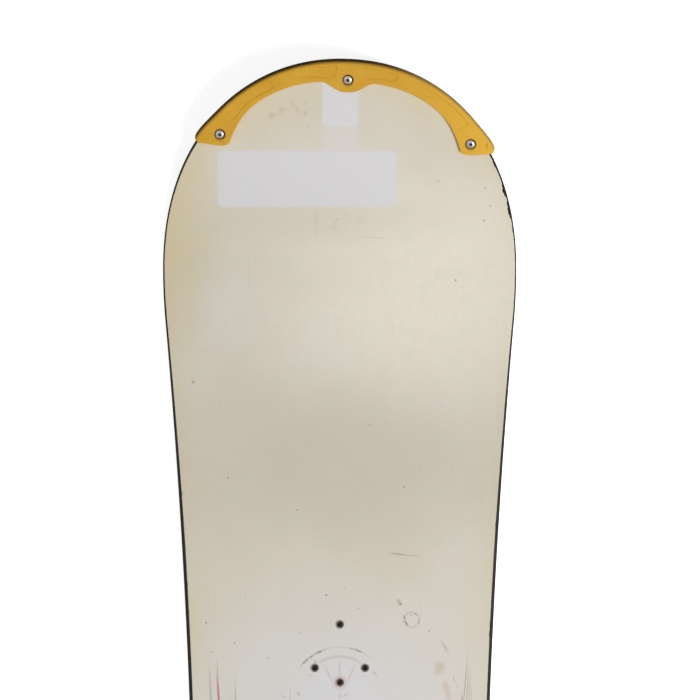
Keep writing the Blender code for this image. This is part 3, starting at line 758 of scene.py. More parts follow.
SPECKS = (  # x, y, size, amount
    (-11.6, 337.8, 2.2, 0.9),
    (-115.1, 313.9, 2.0, 0.9),
    (-90.8, 296.4, 2.2, 0.6),
    (-110.1, 288.7, 2.4, 0.4),
    (-61.6, 283.8, 2.6, 0.4),
    (-34.3, 305.6, 2.2, 0.35),
    (-81.4, 335.5, 2.0, 0.35),
    (77.2, 306.8, 2.0, 0.6),
    (16.2, 326.3, 2.2, 0.45),
    (4.4, 343.2, 2.0, 0.35),
    (125.4, 689.0, 2.2, 0.55),
    (124.4, 661.0, 2.2, 0.75),
    (100.1, 609.5, 3.0, 0.55),
    (130.0, 673.6, 2.6, 0.4),
    (85.0, 694.6, 3.0, 0.35),
    (26.1, 484.5, 2.0, 0.6),
    (55.5, 431.0, 2.2, 0.6),
    (-96.4, 438.7, 2.4, 0.55),
    (-36.8, 411.1, 2.2, 0.5),
    (-126.6, 521.6, 4.0, 0.45),
)
for x, y, size, amount in SPECKS:
    colour = stain(tree, colour, spot(tree, mm, (x, y), (size, size), 0, 0.7), DARK_SPECK, amount)
print("rubs, spots and specks:", len(RED_STREAKS) + len(BROWN_SPOTS) + len(SPECKS))

# %% [markdown]
# A binding stands on a round disc, which is screwed to the inserts and grinds into the sheet: it
# leaves parts of rings, the print of its ribs and a paler round patch. One function draws that
# for both feet, and the rear one is turned, because a disc can be fitted at any angle.
# %% The imprint of a binding's disc
DARK_ARCS = ((42.4, 3.4, 124, 21), (42.8, 3.0, 71, 10), (48.0, 1.8, 252, 16))
FAINT_ARCS = ((34.6, 4.2, 91, 44), (42.8, 1.6, 95, 60), (34.6, 3.0, 265, 60), (42.8, 1.6, 200, 40))
RIB_ANGLES = (64, 90, 116, 230, 268, 300)
RIB_START, RIB_END, RIB_WIDTH = 10, 36, 2.4
REAR_DISC_TURN = 172


def disc_imprint(tree, mm, colour, foot, turn, strength):
    """Arcs, ribs and rubbed rings round the middle of one insert pack."""
    rubbed = spot(tree, mm, foot, (84, 84), 0, 0.5)
    colour = stain(tree, colour, rubbed, COVERED_WHITE, 0.55 * strength)

    def arcs(sizes):
        for radius, width, middle, spread in sizes:
            yield arc(tree, mm, foot, radius, width, middle + turn, spread)

    def ribs():
        for angle in RIB_ANGLES:
            way = math.radians(angle + turn)
            toward = Vector((math.cos(way), math.sin(way)))
            start, end = (tuple(Vector(foot) + toward * r) for r in (RIB_START, RIB_END))
            yield streak(tree, mm, start, end, RIB_WIDTH)

    dark = add(tree, "Math", {0: most_of(tree, arcs(DARK_ARCS)), 1: patchy}, operation="MULTIPLY")
    colour = stain(tree, colour, dark, SCUFF_GREY, 0.85 * strength)
    faint = most_of(tree, arcs(FAINT_ARCS))
    colour = stain(tree, colour, faint, ROSY_GREY, 0.38 * strength)
    return stain(tree, colour, most_of(tree, ribs()), PINK_RUB, 0.48 * strength)


colour = disc_imprint(tree, mm, colour, FRONT_FOOT, 0, 1.0)
colour = disc_imprint(tree, mm, colour, REAR_FOOT, REAR_DISC_TURN, 0.8)
print("nodes once the discs' imprints are on:", len(tree.nodes))

# %% [markdown]
# Each insert hole carries its own ring of rubbed dirt, because a screw's washer turned there
# over and over. The two holes that the disc used most have a rusty ring.
# %% Insert places and the dirt round them
INSERT_CIRCLE = 25.0
STANCE_STEP = 25.0


def insert_pack(centre):
    """(x, y) in mm of the eight inserts under one foot: two pairs, and four on the centreline."""
    half_pair = INSERT_CIRCLE * math.sqrt(3) / 2
    places = []
    for pair, toward in ((centre + STANCE_STEP, 1), (centre - STANCE_STEP, -1)):
        outer = pair + toward * 1.5 * INSERT_CIRCLE
        single = pair - toward * INSERT_CIRCLE / 2
        places += [(0.0, outer), (-half_pair, pair), (half_pair, pair), (0.0, single)]
    return places


INSERTS = insert_pack(FRONT_FOOT[1]) + insert_pack(REAR_FOOT[1])
rims = most_of(tree, (spot(tree, mm, place, (10.0, 10.0), 0, 0.35) for place in INSERTS))
colour = stain(tree, colour, rims, SOFT_GREY, 0.22)
single_rims = most_of(tree, (spot(tree, mm, place, (17, 17), 0, 0.8) for place in INSERTS[3::4]))
colour = stain(tree, colour, single_rims, PINK_RUB, 0.62)

ring_scuff = ring(tree, mm, (62.1, 316.4), 6.4, 3.0)
ring_scuff = add(tree, "Math", {0: ring_scuff, 1: dry}, operation="MULTIPLY")
colour = stain(tree, colour, ring_scuff, SCUFF_GREY, 0.4)
print("inserts:", len(INSERTS), "and the first is at", INSERTS[0])

# %% [markdown]
# Grit leaves specks all over. A Voronoi texture has one point in each square of a grid, so a dot
# round some of those points, each with its own size, gives specks that never fall on each other.
# %% Scattered specks
def specks(tree, mm, spacing, radius, share, seed):
    """Tiny round specks, at most one in each square of the spacing, in a share of the squares."""
    moved = add(tree, "VectorMath", {0: mm, 1: (seed, seed * 1.7, 0)}, operation="ADD")
    flat = add(tree, "VectorMath", {0: moved, 1: (1, 1, 0)}, operation="MULTIPLY")
    near = add(tree, "TexVoronoi", {"Vector": flat, "Scale": 1 / spacing}, out="Distance")
    chosen = add(tree, "SeparateColor", {0: near.node.outputs["Color"]})
    reach = radius / spacing
    size = add(tree, "MapRange", {0: chosen.node.outputs[1], 3: 0.4 * reach, 4: reach})
    dot = add(tree, "Math", {0: near, 1: size}, operation="DIVIDE")
    dot = add(tree, "MapRange", {0: dot, 1: 1.0, 2: 0.4}, interpolation_type="SMOOTHSTEP")
    picked = add(tree, "Math", {0: chosen, 1: share}, operation="LESS_THAN")
    return add(tree, "Math", {0: dot, 1: picked}, operation="MULTIPLY")


small = specks(tree, mm, 26, 0.8, 0.32, 3)
large = specks(tree, mm, 60, 1.5, 0.4, 41)
colour = stain(tree, colour, most_of(tree, (small, large)), DARK_SPECK, 0.5)
print("nodes once the specks are on:", len(tree.nodes))

# %% [markdown]
# Last come hairline scratches that run mostly along the board, and a fine grain that also makes
# the gloss uneven. The scratches and a slight waviness of the sheet go into the bump as well.
# %% Fine scratches and gloss
hairline = add(tree, "Mapping", {"Vector": mm, "Rotation": (0, 0, 0.35), "Scale": (0.9, 0.012, 1)})
hairline = add(tree, "TexNoise", {"Vector": hairline, "Scale": 1.0, "Detail": 2.0})
hairline = add(tree, "MapRange", {0: hairline, 1: 0.68, 2: 0.74})
colour = stain(tree, colour, hairline, SOFT_GREY, 0.12)
fine = add(tree, "MapRange", {0: grain, 1: 0.3, 2: 0.7})
colour = stain(tree, colour, fine, DARK_CREAM, 0.1)

gloss = add(tree, "MapRange", {0: grain, 1: 0.3, 2: 0.7, 3: 0.40, 4: 0.52})
skin = add(tree, "TexNoise", {"Vector": mm, "Scale": 0.5, "Detail": 2.0})
height = add(tree, "Math", {0: skin, 1: hairline}, operation="SUBTRACT")
finish_surface(tree, shader, colour, gloss, height, 0.02)
print("nodes in the topsheet's material:", len(tree.nodes))

# %% [markdown]
# Screws hold the guards to the tips. Their places follow the tip's edge, measured along it from
# the centreline, and the dirt round them needs those places too, so they are worked out here.
# %% Places of the fasteners, on the flat board
END_SCREW_ALONG = 0.1364
END_SCREW_INSET = 0.0112
CENTRE_SCREW_INSET = 0.0133
GUARD_TOP = 0.0088 - HAIRLINE
NOSE_GUARD_TURN = math.radians(-2.4)
TAIL_GUARD_TURN = 0.0
TIP_LENGTHS = [0.0]
for near, far in zip(TIP_PATH, TIP_PATH[1:]):
    TIP_LENGTHS.append(TIP_LENGTHS[-1] + (far - near).length)


def edge_at(along):
    """The tip's edge at a distance along it from the centreline, with its inward direction."""
    away = abs(along)
    i = min(max(bisect_left(TIP_LENGTHS, away), 1), len(TIP_PATH) - 1)
    near, far = TIP_PATH[i - 1], TIP_PATH[i]
    direction = (far - near).normalized()
    point = near + direction * (away - TIP_LENGTHS[i - 1])
    inward = Vector((direction.y, -direction.x)) if away > 0 else Vector((0.0, -1.0))
    side = 1 if along >= 0 else -1
    return Vector((side * point.x, point.y)), Vector((side * inward.x, inward.y))


def guard_screw_places():
    """(x, s) of a guard's three screws, with s from the start of the tip."""
    edge, inward = edge_at(END_SCREW_ALONG)
    end = edge + inward * END_SCREW_INSET
    return [(-end.x, end.y), (0.0, TIP_LENGTH - CENTRE_SCREW_INSET), (end.x, end.y)]


def on_board(x, s, turn, end):
    """Turns a point of a guard about the middle of its tip, and moves it to nose or tail."""
    turned = Matrix.Rotation(turn, 2) @ Vector((x, s))
    return end * turned.x, end * (turned.y + HALF_RUN)


ENDS = (("nose", NOSE_GUARD_TURN, 1), ("tail", TAIL_GUARD_TURN, -1))
BOLTS = {}
for place, turn, end in ENDS:
    BOLTS[place] = [on_board(x, s, turn, end) for x, s in guard_screw_places()]
ALL_BOLTS = BOLTS["nose"] + BOLTS["tail"]
INSERT_HOLES = [(x / 1000, y / 1000) for x, y in INSERTS]
print("first screw in mm:", in_mm(ALL_BOLTS[0]))

# %% [markdown]
# The guards are injection-moulded: a tough yellow polyamide with a fine satin skin. Knocks have
# left pale scratches on top. The outer wall is nearly black along the sides, from ground-in dirt
# and painted shade, which lie by height over the deck and by noise, so they follow the wall.
# %% Guard plastic
GUARD_YELLOW = "#D1A035"
GUARD_DEEP = "#C38F22"
GUARD_PALE = "#D8AB42"
GUARD_PAINTED_LIGHT = "#E2B23C"
GUARD_DIRT_AND_SHADE = "#150E08"
GUARD_SOILED_AND_SHADED = "#8A6420"
GUARD_SCUFF = "#A8781E"
GROOVE_DIRT_AND_SHADE = "#8F5710"
SCREW_SOIL_AND_SHADE = "#8A642A"
SCREW_SOIL_AND_SHADE_SIZE = (11.6, 12.4)
SCREW_SOIL_AND_SHADE_SHIFT = 0.4  # mm towards the tail
WORN_SPECULAR = 0.12  # old plastic shines less than new

guard_finish, tree, shader, mm = new_material("moulded_yellow_polyamide")
shader.inputs["Specular IOR Level"].default_value = WORN_SPECULAR
cloud = add(tree, "TexNoise", {"Vector": mm, "Scale": 1 / 22, "Detail": 4.0})
cloud = add(tree, "MapRange", {0: cloud, 1: 0.35, 2: 0.65})
colour = stain(tree, linear(GUARD_YELLOW), cloud, GUARD_DEEP, 0.4)
# Painted light: the right of the nose guard is made lighter, as if the lamp fell on it.
colour = stain(tree, colour, spot(tree, mm, (150, 740), (260, 220), 0, 1.0), GUARD_PAINTED_LIGHT, 0.8)
grain = add(tree, "TexNoise", {"Vector": mm, "Scale": 1.1, "Detail": 4.0, "Roughness": 0.6})
pale = add(tree, "MapRange", {0: grain, 1: 0.52, 2: 0.72})
colour = stain(tree, colour, pale, GUARD_PALE, 0.35)
for turn in (0.5, -1.1):
    scratch = add(tree, "Mapping", {"Vector": mm, "Rotation": (0, 0, turn)})
    scratch = add(tree, "Mapping", {"Vector": scratch, "Scale": (1.4, 0.05, 0.3)})
    scratch = add(tree, "TexNoise", {"Vector": scratch, "Scale": 1.0, "Detail": 3.0})
    scratch = add(tree, "MapRange", {0: scratch, 1: 0.65, 2: 0.71})
    colour = stain(tree, colour, scratch, GUARD_SCUFF, 0.35)
# Dirt and painted shade along the panels' sunken edges, which stands in for their shadow lines.
groove = add(tree, "Attribute", out="Fac", attribute_name="groove")
colour = stain(tree, colour, groove, GROOVE_DIRT_AND_SHADE, 0.42)
# Painted shade: a thin dark line for a crease near the right end of the nose guard, with no dent
# in the shape.
crease = streak(tree, mm, (126.8, 728.0), (125.9, 720.6), 1.3, 0.7)
colour = stain(tree, colour, crease, GROOVE_DIRT_AND_SHADE, 0.8)
# Dirt and painted shade: a soft brown ring round each screw's counterbore, set a little towards
# the tail.
for x, s in ALL_BOLTS:
    foot, up = pressed_frame(s)
    seat = (foot + up * GUARD_TOP) * 1000
    soil_and_shade = spot(tree, mm, (x * 1000, seat.y - SCREW_SOIL_AND_SHADE_SHIFT), SCREW_SOIL_AND_SHADE_SIZE, 0, 0.28)
    colour = stain(tree, colour, soil_and_shade, SCREW_SOIL_AND_SHADE, 0.4)
print("guard plastic nodes without the grime:", len(tree.nodes))

# %% [markdown]
# The grime and painted shade read two attributes that the guard's mesh carries: wall is 1 on
# the outer wall and fades over the rim, and groove is 1 in the steps round the panels. Painting it
# by hand would look the same, but an attribute follows the shape when that changes.
# %% Grime and painted shade on the guards
# Dirt and painted shade on the outer wall: a brown layer, and near black low down, broken by
# noise.
wall = add(tree, "Attribute", out="Fac", attribute_name="wall")
colour = stain(tree, colour, wall, GUARD_SOILED_AND_SHADED, 0.8)
grime_and_shade = add(tree, "TexNoise", {"Vector": mm, "Scale": 1 / 6, "Detail": 5.0, "Roughness": 0.7})
grime_and_shade = add(tree, "MapRange", {0: grime_and_shade, 1: 0.25, 2: 0.6, 3: 0.7, 4: 1.0})
caked_and_shaded = add(tree, "Math", {0: wall, 1: 2.4}, operation="POWER")
grime_and_shade = add(tree, "Math", {0: caked_and_shaded, 1: grime_and_shade}, operation="MULTIPLY")
colour = stain(tree, colour, grime_and_shade, GUARD_DIRT_AND_SHADE, 0.97)
gloss = add(tree, "MapRange", {0: grain, 1: 0.3, 2: 0.7, 3: 0.36, 4: 0.50})
gloss = add(tree, "MapRange", {0: grime_and_shade, 3: gloss, 4: 0.95})
height = add(tree, "Math", {0: grain, 1: scratch}, operation="SUBTRACT")
finish_surface(tree, shader, colour, gloss, height, 0.04)
print("guard plastic nodes:", len(tree.nodes))

# %% [markdown]
# Screws are stainless steel, cold formed and tumbled: bright, with a slightly uneven gloss.
# Barrel nuts are the same steel, duller, and the inserts wear a film of grime. Sockets, slots and
# threads are darkened by dirt and painted shade, more so the deeper they go.
# %% Stainless steel
STEEL_BRIGHT = "#A9A6A6"
STEEL_GREY = "#8A8683"
STEEL_DULL = "#6A6767"
STEEL_SOILED = "#988C86"
THREAD_DIRT_AND_SHADE = "#120F0E"


def stainless(name, base, dirt_amount, low, high, clean_metal=1.0):
    """Steel whose roughness lies between low and high. An attribute darkens its hollows with dirt
    and painted shade.
    """
    material, tree, shader, mm = new_material(name)
    tumbled = add(tree, "TexNoise", {"Vector": mm, "Scale": 2.2, "Detail": 4.0})
    stained = add(tree, "MapRange", {0: tumbled, 1: 0.4, 2: 0.65})
    colour = stain(tree, linear(base), stained, STEEL_DULL, 0.4)
    dirt_and_shade = add(tree, "TexNoise", {"Vector": mm, "Scale": 1.1, "Detail": 3.0})
    dirt_and_shade = add(tree, "MapRange", {0: dirt_and_shade, 1: 0.45, 2: 0.6})
    colour = stain(tree, colour, dirt_and_shade, THREAD_DIRT_AND_SHADE, dirt_amount)
    # Dirt and painted shade in the hollows, from the attribute.
    hollow_dirt_and_shade = add(tree, "Attribute", out="Fac", attribute_name="dirt_and_shade")
    colour = stain(tree, colour, hollow_dirt_and_shade, THREAD_DIRT_AND_SHADE, 0.95)
    metal = add(tree, "MapRange", {0: hollow_dirt_and_shade, 3: clean_metal, 4: 0.1})
    tree.links.new(metal, shader.inputs["Metallic"])
    gloss = add(tree, "MapRange", {0: tumbled, 1: 0.3, 2: 0.7, 3: low, 4: high})
    gloss = add(tree, "MapRange", {0: hollow_dirt_and_shade, 3: gloss, 4: 0.9})
    finish_surface(tree, shader, colour, gloss, tumbled, 0.01)
    return material


screw_finish = stainless("tumbled_stainless_steel", STEEL_BRIGHT, 0.15, 0.22, 0.34)
nut_finish = stainless("dull_stainless_steel", STEEL_GREY, 0.6, 0.38, 0.55)
insert_finish = stainless("soiled_stainless_steel", STEEL_SOILED, 0.2, 0.5, 0.7, 0.25)
print("steel finishes:", screw_finish.name, nut_finish.name, insert_finish.name)

# %% [markdown]
# Two black parts: sidewalls of milled ABS with long scuffs, and glass laminate that shows only
# as its sawn edge. Both have marks that are drawn out along the board, so one function makes
# them, with noise that is stretched by a Mapping node.
# %% Sidewall and laminate
ABS_BLACK = "#14110F"
ABS_SCUFF = "#3E3731"
RESIN_DARK = "#17130F"
GLASS_FIBRE = "#39352C"


def worn_black(name, base, scuff, stretch, amount, low, high, depth_mm):
    """A black plastic with marks drawn out along the board. stretch is their length in mm."""
    material, tree, shader, mm = new_material(name)
    shader.inputs["Specular IOR Level"].default_value = WORN_SPECULAR
    long = add(tree, "Mapping", {"Vector": mm, "Scale": (1.2, 1 / stretch, 1.2)})
    marks = add(tree, "TexNoise", {"Vector": long, "Scale": 1.0, "Detail": 5.0, "Roughness": 0.65})
    scuffs = add(tree, "MapRange", {0: marks, 1: 0.5, 2: 0.68})
    colour = stain(tree, linear(base), scuffs, scuff, amount)
    cloud = add(tree, "TexNoise", {"Vector": mm, "Scale": 1 / 35, "Detail": 3.0})
    cloud = add(tree, "MapRange", {0: cloud, 1: 0.4, 2: 0.7})
    colour = stain(tree, colour, cloud, scuff, 0.25)
    gloss = add(tree, "MapRange", {0: marks, 1: 0.3, 2: 0.7, 3: low, 4: high})
    finish_surface(tree, shader, colour, gloss, marks, depth_mm)
    return material


sidewall_finish = worn_black("milled_black_abs", ABS_BLACK, ABS_SCUFF, 30, 0.3, 0.6, 0.8, 0.05)
laminate_finish = worn_black(
    "glass_laminate_edge", RESIN_DARK, GLASS_FIBRE, 4, 0.25, 0.6, 0.8, 0.03
)
print("black finishes:", sidewall_finish.name, laminate_finish.name)

# %% [markdown]
# The base is sintered polyethylene, ground on a stone, which leaves fine lines along it that
# carry water away. They are finer than a pixel, so they are drawn half a millimetre apart.
# Gouges run nearly the same way, and dried wax leaves grey clouds.
# %% Running base
BASE_BLACK = "#1B1B1D"
BASE_GREY = "#3A3A3D"
BASE_SCRATCH = "#6A6A6C"

base_finish, tree, shader, mm = new_material("stone_ground_sintered_base")
ground = add(tree, "Mapping", {"Vector": mm, "Scale": (2.0, 0.012, 1)})
ground = add(tree, "TexNoise", {"Vector": ground, "Scale": 1.0, "Detail": 4.0, "Roughness": 0.6})
structure = add(tree, "MapRange", {0: ground, 1: 0.4, 2: 0.6})
colour = stain(tree, linear(BASE_BLACK), structure, BASE_GREY, 0.6)
gouge = add(tree, "Mapping", {"Vector": mm, "Rotation": (0, 0, 0.08), "Scale": (0.5, 0.006, 1)})
gouge = add(tree, "TexNoise", {"Vector": gouge, "Scale": 1.0, "Detail": 3.0})
gouge = add(tree, "MapRange", {0: gouge, 1: 0.66, 2: 0.70})
colour = stain(tree, colour, gouge, BASE_SCRATCH, 0.6)
wax = add(tree, "TexNoise", {"Vector": mm, "Scale": 1 / 80, "Detail": 4.0})
wax = add(tree, "MapRange", {0: wax, 1: 0.4, 2: 0.7})
colour = stain(tree, colour, wax, BASE_GREY, 0.45)
gloss = add(tree, "MapRange", {0: wax, 3: 0.32, 4: 0.48})
height = add(tree, "Math", {0: structure, 1: gouge}, operation="SUBTRACT")
finish_surface(tree, shader, colour, gloss, height, 0.03)
print("nodes in the base's material:", len(tree.nodes))

# %% [markdown]
# The steel edge is hardened carbon steel. It is ground along its length, so its gloss is drawn
# out that way, and where water stood it has small spots of rust.
# %% Edge steel
EDGE_STEEL = "#8F8C88"
EDGE_DARK = "#5C5854"
RUST = "#7A4526"

edge_finish, tree, shader, mm = new_material("ground_edge_steel")
ground = add(tree, "Mapping", {"Vector": mm, "Scale": (3.0, 0.05, 3.0)})
ground = add(tree, "TexNoise", {"Vector": ground, "Scale": 1.0, "Detail": 4.0})
dark = add(tree, "MapRange", {0: ground, 1: 0.4, 2: 0.65})
colour = stain(tree, linear(EDGE_STEEL), dark, EDGE_DARK, 0.6)
rust = add(tree, "TexNoise", {"Vector": mm, "Scale": 0.16, "Detail": 6.0, "Roughness": 0.7})
rust = add(tree, "MapRange", {0: rust, 1: 0.56, 2: 0.66})
colour = stain(tree, colour, rust, RUST, 0.8)
metal = add(tree, "MapRange", {0: rust, 3: 1.0, 4: 0.2})
tree.links.new(metal, shader.inputs["Metallic"])
gloss = add(tree, "MapRange", {0: ground, 1: 0.3, 2: 0.7, 3: 0.28, 4: 0.5})
finish_surface(tree, shader, colour, gloss, ground, 0.02)
print("nodes in the edge's material:", len(tree.nodes))

# %% [markdown]
# The core is glued up from long poplar strips. Each strip is a tree of its own, so its number
# sets its tone and moves its growth rings, which run along the board.
# %% Poplar core
POPLAR = "#D9BC8C"
POPLAR_DARK = "#B08A55"
STRIP_WIDTH = 18.0  # mm, the width of the core's glued strips
RING_SHIFT = 7.3  # mm that the rings move from one strip to the next

core_finish, tree, shader, mm = new_material("laminated_poplar")
strips = add(tree, "VectorMath", {0: mm, 1: (1 / STRIP_WIDTH, 0, 0)}, operation="MULTIPLY")
strips = add(tree, "VectorMath", {0: strips}, operation="FLOOR")
tone = add(tree, "TexWhiteNoise", {0: strips})
rings = add(tree, "Mapping", {"Vector": mm, "Scale": (0.8, 0.01, 0.8)})
shift = add(tree, "VectorMath", {0: strips, "Scale": RING_SHIFT}, operation="SCALE")
rings = add(tree, "VectorMath", {0: rings, 1: shift}, operation="ADD")
rings = add(tree, "TexNoise", {"Vector": rings, "Scale": 1.0, "Detail": 5.0})
rings = add(tree, "MapRange", {0: rings, 1: 0.4, 2: 0.65})
colour = stain(tree, linear(POPLAR), tone, POPLAR_DARK, 0.35)
colour = stain(tree, colour, rings, POPLAR_DARK, 0.55)
gloss = add(tree, "MapRange", {0: rings, 3: 0.62, 4: 0.75})
finish_surface(tree, shader, colour, gloss, rings, 0.05)
print("materials:", len(bpy.data.materials))

# %% [markdown]
# Now the flat layers. Each is a filled stack of rings on the outline, cut across where the press
# bends it, drilled, pressed and shaded smooth. One function makes them all, from the section of
# the layer's edge, the holes that are drilled and the saw cuts.
# %% How a flat layer is made
def make_layer(node, points, section, material, drillings=(), cuts=()):
    """A flat layer: its section's rings, its sawn ends and its holes, all before it is pressed."""
    piece = ring_stack("fine_" + node, points, len(section), "NGON")
    lay_on_outline(piece, points, section)
    for point, normal in cuts:
        keep_side(piece, point, normal)
    cut_across(piece)
    merge_and_turn_out(piece)
    for drilling in drillings:
        drill(piece, *drilling)
    press(piece)
    smooth(piece)
    hand_over(piece, node, material)
    return piece


def sloping(low, high):
    """The section of a layer that ends at the sloping side."""
    return [(lambda p: lean(low, p.y), low), (lambda p: lean(high, p.y), high)]


print("the side slopes in by", in_mm([lean(DECK, 0.0)]), "mm at the middle of the board")

# %% [markdown]
# The base has a rebate for the flange of the steel edge. Both laminates and the spacers in the
# tips end at the sloping side. Holes go through for the screws with their nuts, and through the
# upper laminate for the necks of the inserts.
# %% Base, laminates and spacers
LAYER_POINTS = 1200
BOLT_HOLE = 0.0034
NUT_HEAD = 0.0045
INSERT_NECK = 0.0045
DRILL_FLOOR = -0.002  # every drill goes from below the board
DRILL_TOP = 0.012  # to above it


def holes(places, radius):
    return places, radius, DRILL_FLOOR, DRILL_TOP


base_gap = EDGE_WIDTH + HAIRLINE
base_reach = EDGE_FLANGE_REACH + HAIRLINE
rebate = EDGE_HEIGHT - EDGE_FLANGE - HAIRLINE
base_section = [
    (base_gap, 0.0),
    (base_gap, rebate),
    (base_reach, rebate),
    (base_reach, EDGE_HEIGHT),
]
nut_holes = holes(ALL_BOLTS, NUT_HEAD + HAIRLINE)
make_layer("base_sheet", LAYER_POINTS, base_section, base_finish, [nut_holes])
bolt_holes = holes(ALL_BOLTS, BOLT_HOLE)
neck_holes = holes(INSERT_HOLES, INSERT_NECK + HAIRLINE)
make_layer(
    "lower_laminate",
    LAYER_POINTS,
    sloping(EDGE_HEIGHT + HAIRLINE, LAMINATE_TOP),
    laminate_finish,
    [bolt_holes],
)
make_layer(
    "upper_laminate",
    LAYER_POINTS,
    sloping(CORE_TOP + HAIRLINE, TOPSHEET_FLOOR - HAIRLINE),
    laminate_finish,
    [bolt_holes, neck_holes],
)
for place, end in (("nose", 1), ("tail", -1)):
    saw = ((0, end * (CORE_HALF_LENGTH + HAIRLINE), 0), (0, end, 0))
    make_layer(
        place + "_spacer",
        LAYER_POINTS,
        sloping(LAMINATE_TOP + HAIRLINE, CORE_TOP),
        sidewall_finish,
        [holes(BOLTS[place], BOLT_HOLE)],
        [saw],
    )

# %% [markdown]
# The topsheet's edge is chipped where the board met other boards and rocks. Its rings have a
# point every millimetre, and the inset grows by a nick at each of those places. One seeded
# generator adds the tiny ones, so they are the same at each run.
# %% Nicks in the topsheet's edge
SHEET_POINTS = 3600
NICKS = (  # side, place, depth, half length
    (1, 0.6925, 0.0014, 0.0022),
    (1, 0.6885, 0.0028, 0.0034),
    (1, 0.6850, 0.0019, 0.0020),
    (1, 0.6760, 0.0016, 0.0040),
    (1, 0.6722, 0.0024, 0.0024),
    (1, 0.6690, 0.0026, 0.0030),
    (1, 0.6655, 0.0014, 0.0022),
    (1, 0.7120, 0.0008, 0.0030),
    (1, 0.6540, 0.0007, 0.0030),
    (1, 0.3120, 0.0005, 0.0040),
    (1, 0.3040, 0.0006, 0.0040),
    (1, 0.3990, 0.0006, 0.0014),
    (-1, 0.4256, 0.0006, 0.0014),
    (-1, 0.6440, 0.0004, 0.0012),
    (-1, -0.5100, 0.0009, 0.0030),
    (1, -0.6900, 0.0011, 0.0025),
)
NICK_CHANCE = 0.12
NICK_DEPTH = 0.0003
NICK_SEED = 5
chance = random.Random(NICK_SEED)


def place_key(p):
    return round(p.x, 7), round(p.y, 7)


tiny_at = {}
for p in outline(SHEET_POINTS)[0]:
    chipped = chance.random() < NICK_CHANCE
    tiny_at[place_key(p)] = NICK_DEPTH * chance.random() ** 2 if chipped else 0.0


def nick_depth(p):
    """How far the edge is chipped at a point of the rim."""
    depth = tiny_at[place_key(p)]
    for side, s, deep, half in NICKS:
        away = abs(p.y - s) / half
        if p.x * side > 0 and away < 1:
            depth = max(depth, deep * (1 - away**2))
    return depth


print("tiny nicks:", sum(nick > 0 for nick in tiny_at.values()))

# %% [markdown]
# The topsheet itself is a flat layer like the others, with two more things: a fine chamfer that
# catches the light at its edge, and nicks that reach less far in at its underside.
# %% Topsheet
SHEET_CHAMFER = 0.0001
NICK_UNDERCUT = 0.6  # the share of a nick's depth that is left at the sheet's underside
TOPSHEET_HOLE = 0.0037
sheet_section = [
    (lambda p: lean(TOPSHEET_FLOOR, p.y) + nick_depth(p) * NICK_UNDERCUT, TOPSHEET_FLOOR),
    (lambda p: lean(DECK, p.y) + nick_depth(p), DECK - SHEET_CHAMFER),
    (lambda p: lean(DECK, p.y) + nick_depth(p) + SHEET_CHAMFER, DECK),
]
sheet_holes = [bolt_holes, holes(INSERT_HOLES, TOPSHEET_HOLE)]
topsheet = make_layer(
    "topsheet", SHEET_POINTS, sheet_section, topsheet_finish, sheet_holes
)
print("topsheet faces:", len(topsheet.data.polygons))

# %% [markdown]
# Steel edge and sidewalls are bars that follow the outline. A bar is a stack of rings too, open
# this time: its last ring lies on its first, and the two are welded. The saw then parts it at
# the tips, so that each side is its own piece, as on the real board.
# %% Bars along the edge
EDGE_POINTS = 1600
EDGE_BREAK = 0.00015  # the broken corners of the steel


def make_bars(kind, section, material, cuts=()):
    """A bar along each side of the board."""
    for side, normal in (("right", 1), ("left", -1)):
        node = f"{kind}_{side}"
        piece = ring_stack("fine_" + node, EDGE_POINTS, len(section) + 1)
        lay_on_outline(piece, EDGE_POINTS, [*section, section[0]])
        merge_and_turn_out(piece)
        keep_side(piece, (normal * HAIRLINE, 0, 0), (normal, 0, 0))
        for point, direction in cuts:
            keep_side(piece, point, direction)
        press(piece)
        smooth(piece)
        hand_over(piece, node, material)
        print(piece.name, "faces:", len(piece.data.polygons))


flange_floor = EDGE_HEIGHT - EDGE_FLANGE
edge_section = [
    (EDGE_BREAK, 0.0),
    (0.0, EDGE_BREAK),
    (0.0, EDGE_HEIGHT - EDGE_BREAK),
    (EDGE_BREAK, EDGE_HEIGHT),
    (EDGE_FLANGE_REACH, EDGE_HEIGHT),
    (EDGE_FLANGE_REACH, flange_floor),
    (EDGE_WIDTH, flange_floor),
    (EDGE_WIDTH, 0.0),
]
make_bars("steel_edge", edge_section, edge_finish)
wall_floor = LAMINATE_TOP + HAIRLINE
wall_section = [
    (lambda p: lean(wall_floor, p.y), wall_floor),
    (lambda p: lean(CORE_TOP, p.y), CORE_TOP),
    (SIDEWALL_WIDTH, CORE_TOP),
    (SIDEWALL_WIDTH, wall_floor),
]
core_ends = [((0, end * CORE_HALF_LENGTH, 0), (0, -end, 0)) for end in (1, -1)]
make_bars("sidewall", wall_section, sidewall_finish, core_ends)

# %% [markdown]
# A guard is one moulded band that wraps the tip's edge: an outer wall, a rolled rim, and a
# flange that lies on the topsheet and swells to a lobe round each screw. We could bridge a few
# drawn sections, but its shape is easier to match as numbers: how far it reaches in at each
# distance along the edge.
# %% How far the guard reaches in
GUARD_LENGTH = 0.1544  # from the centreline to each end, along the edge
GUARD_BAND = 0.0124
GUARD_LOBES = (  # place, height, half span, and how full the lobe is
    (0.0, 0.0024, 0.070, 1.0),
    (0.0, 0.0096, 0.0265, 1.5),
    (0.1425, 0.0120, 0.058, 0.5),
)


def guard_depth(along):
    """How far the guard reaches in from the edge: a band with a lobe at each screw."""
    depth = GUARD_BAND
    for place, height, span, fullness in GUARD_LOBES:
        away = abs(abs(along) - place) / span
        if away < 1:
            depth += height * (1 - (math.sin(math.pi / 2 * away) ** 2) ** fullness)
    return depth


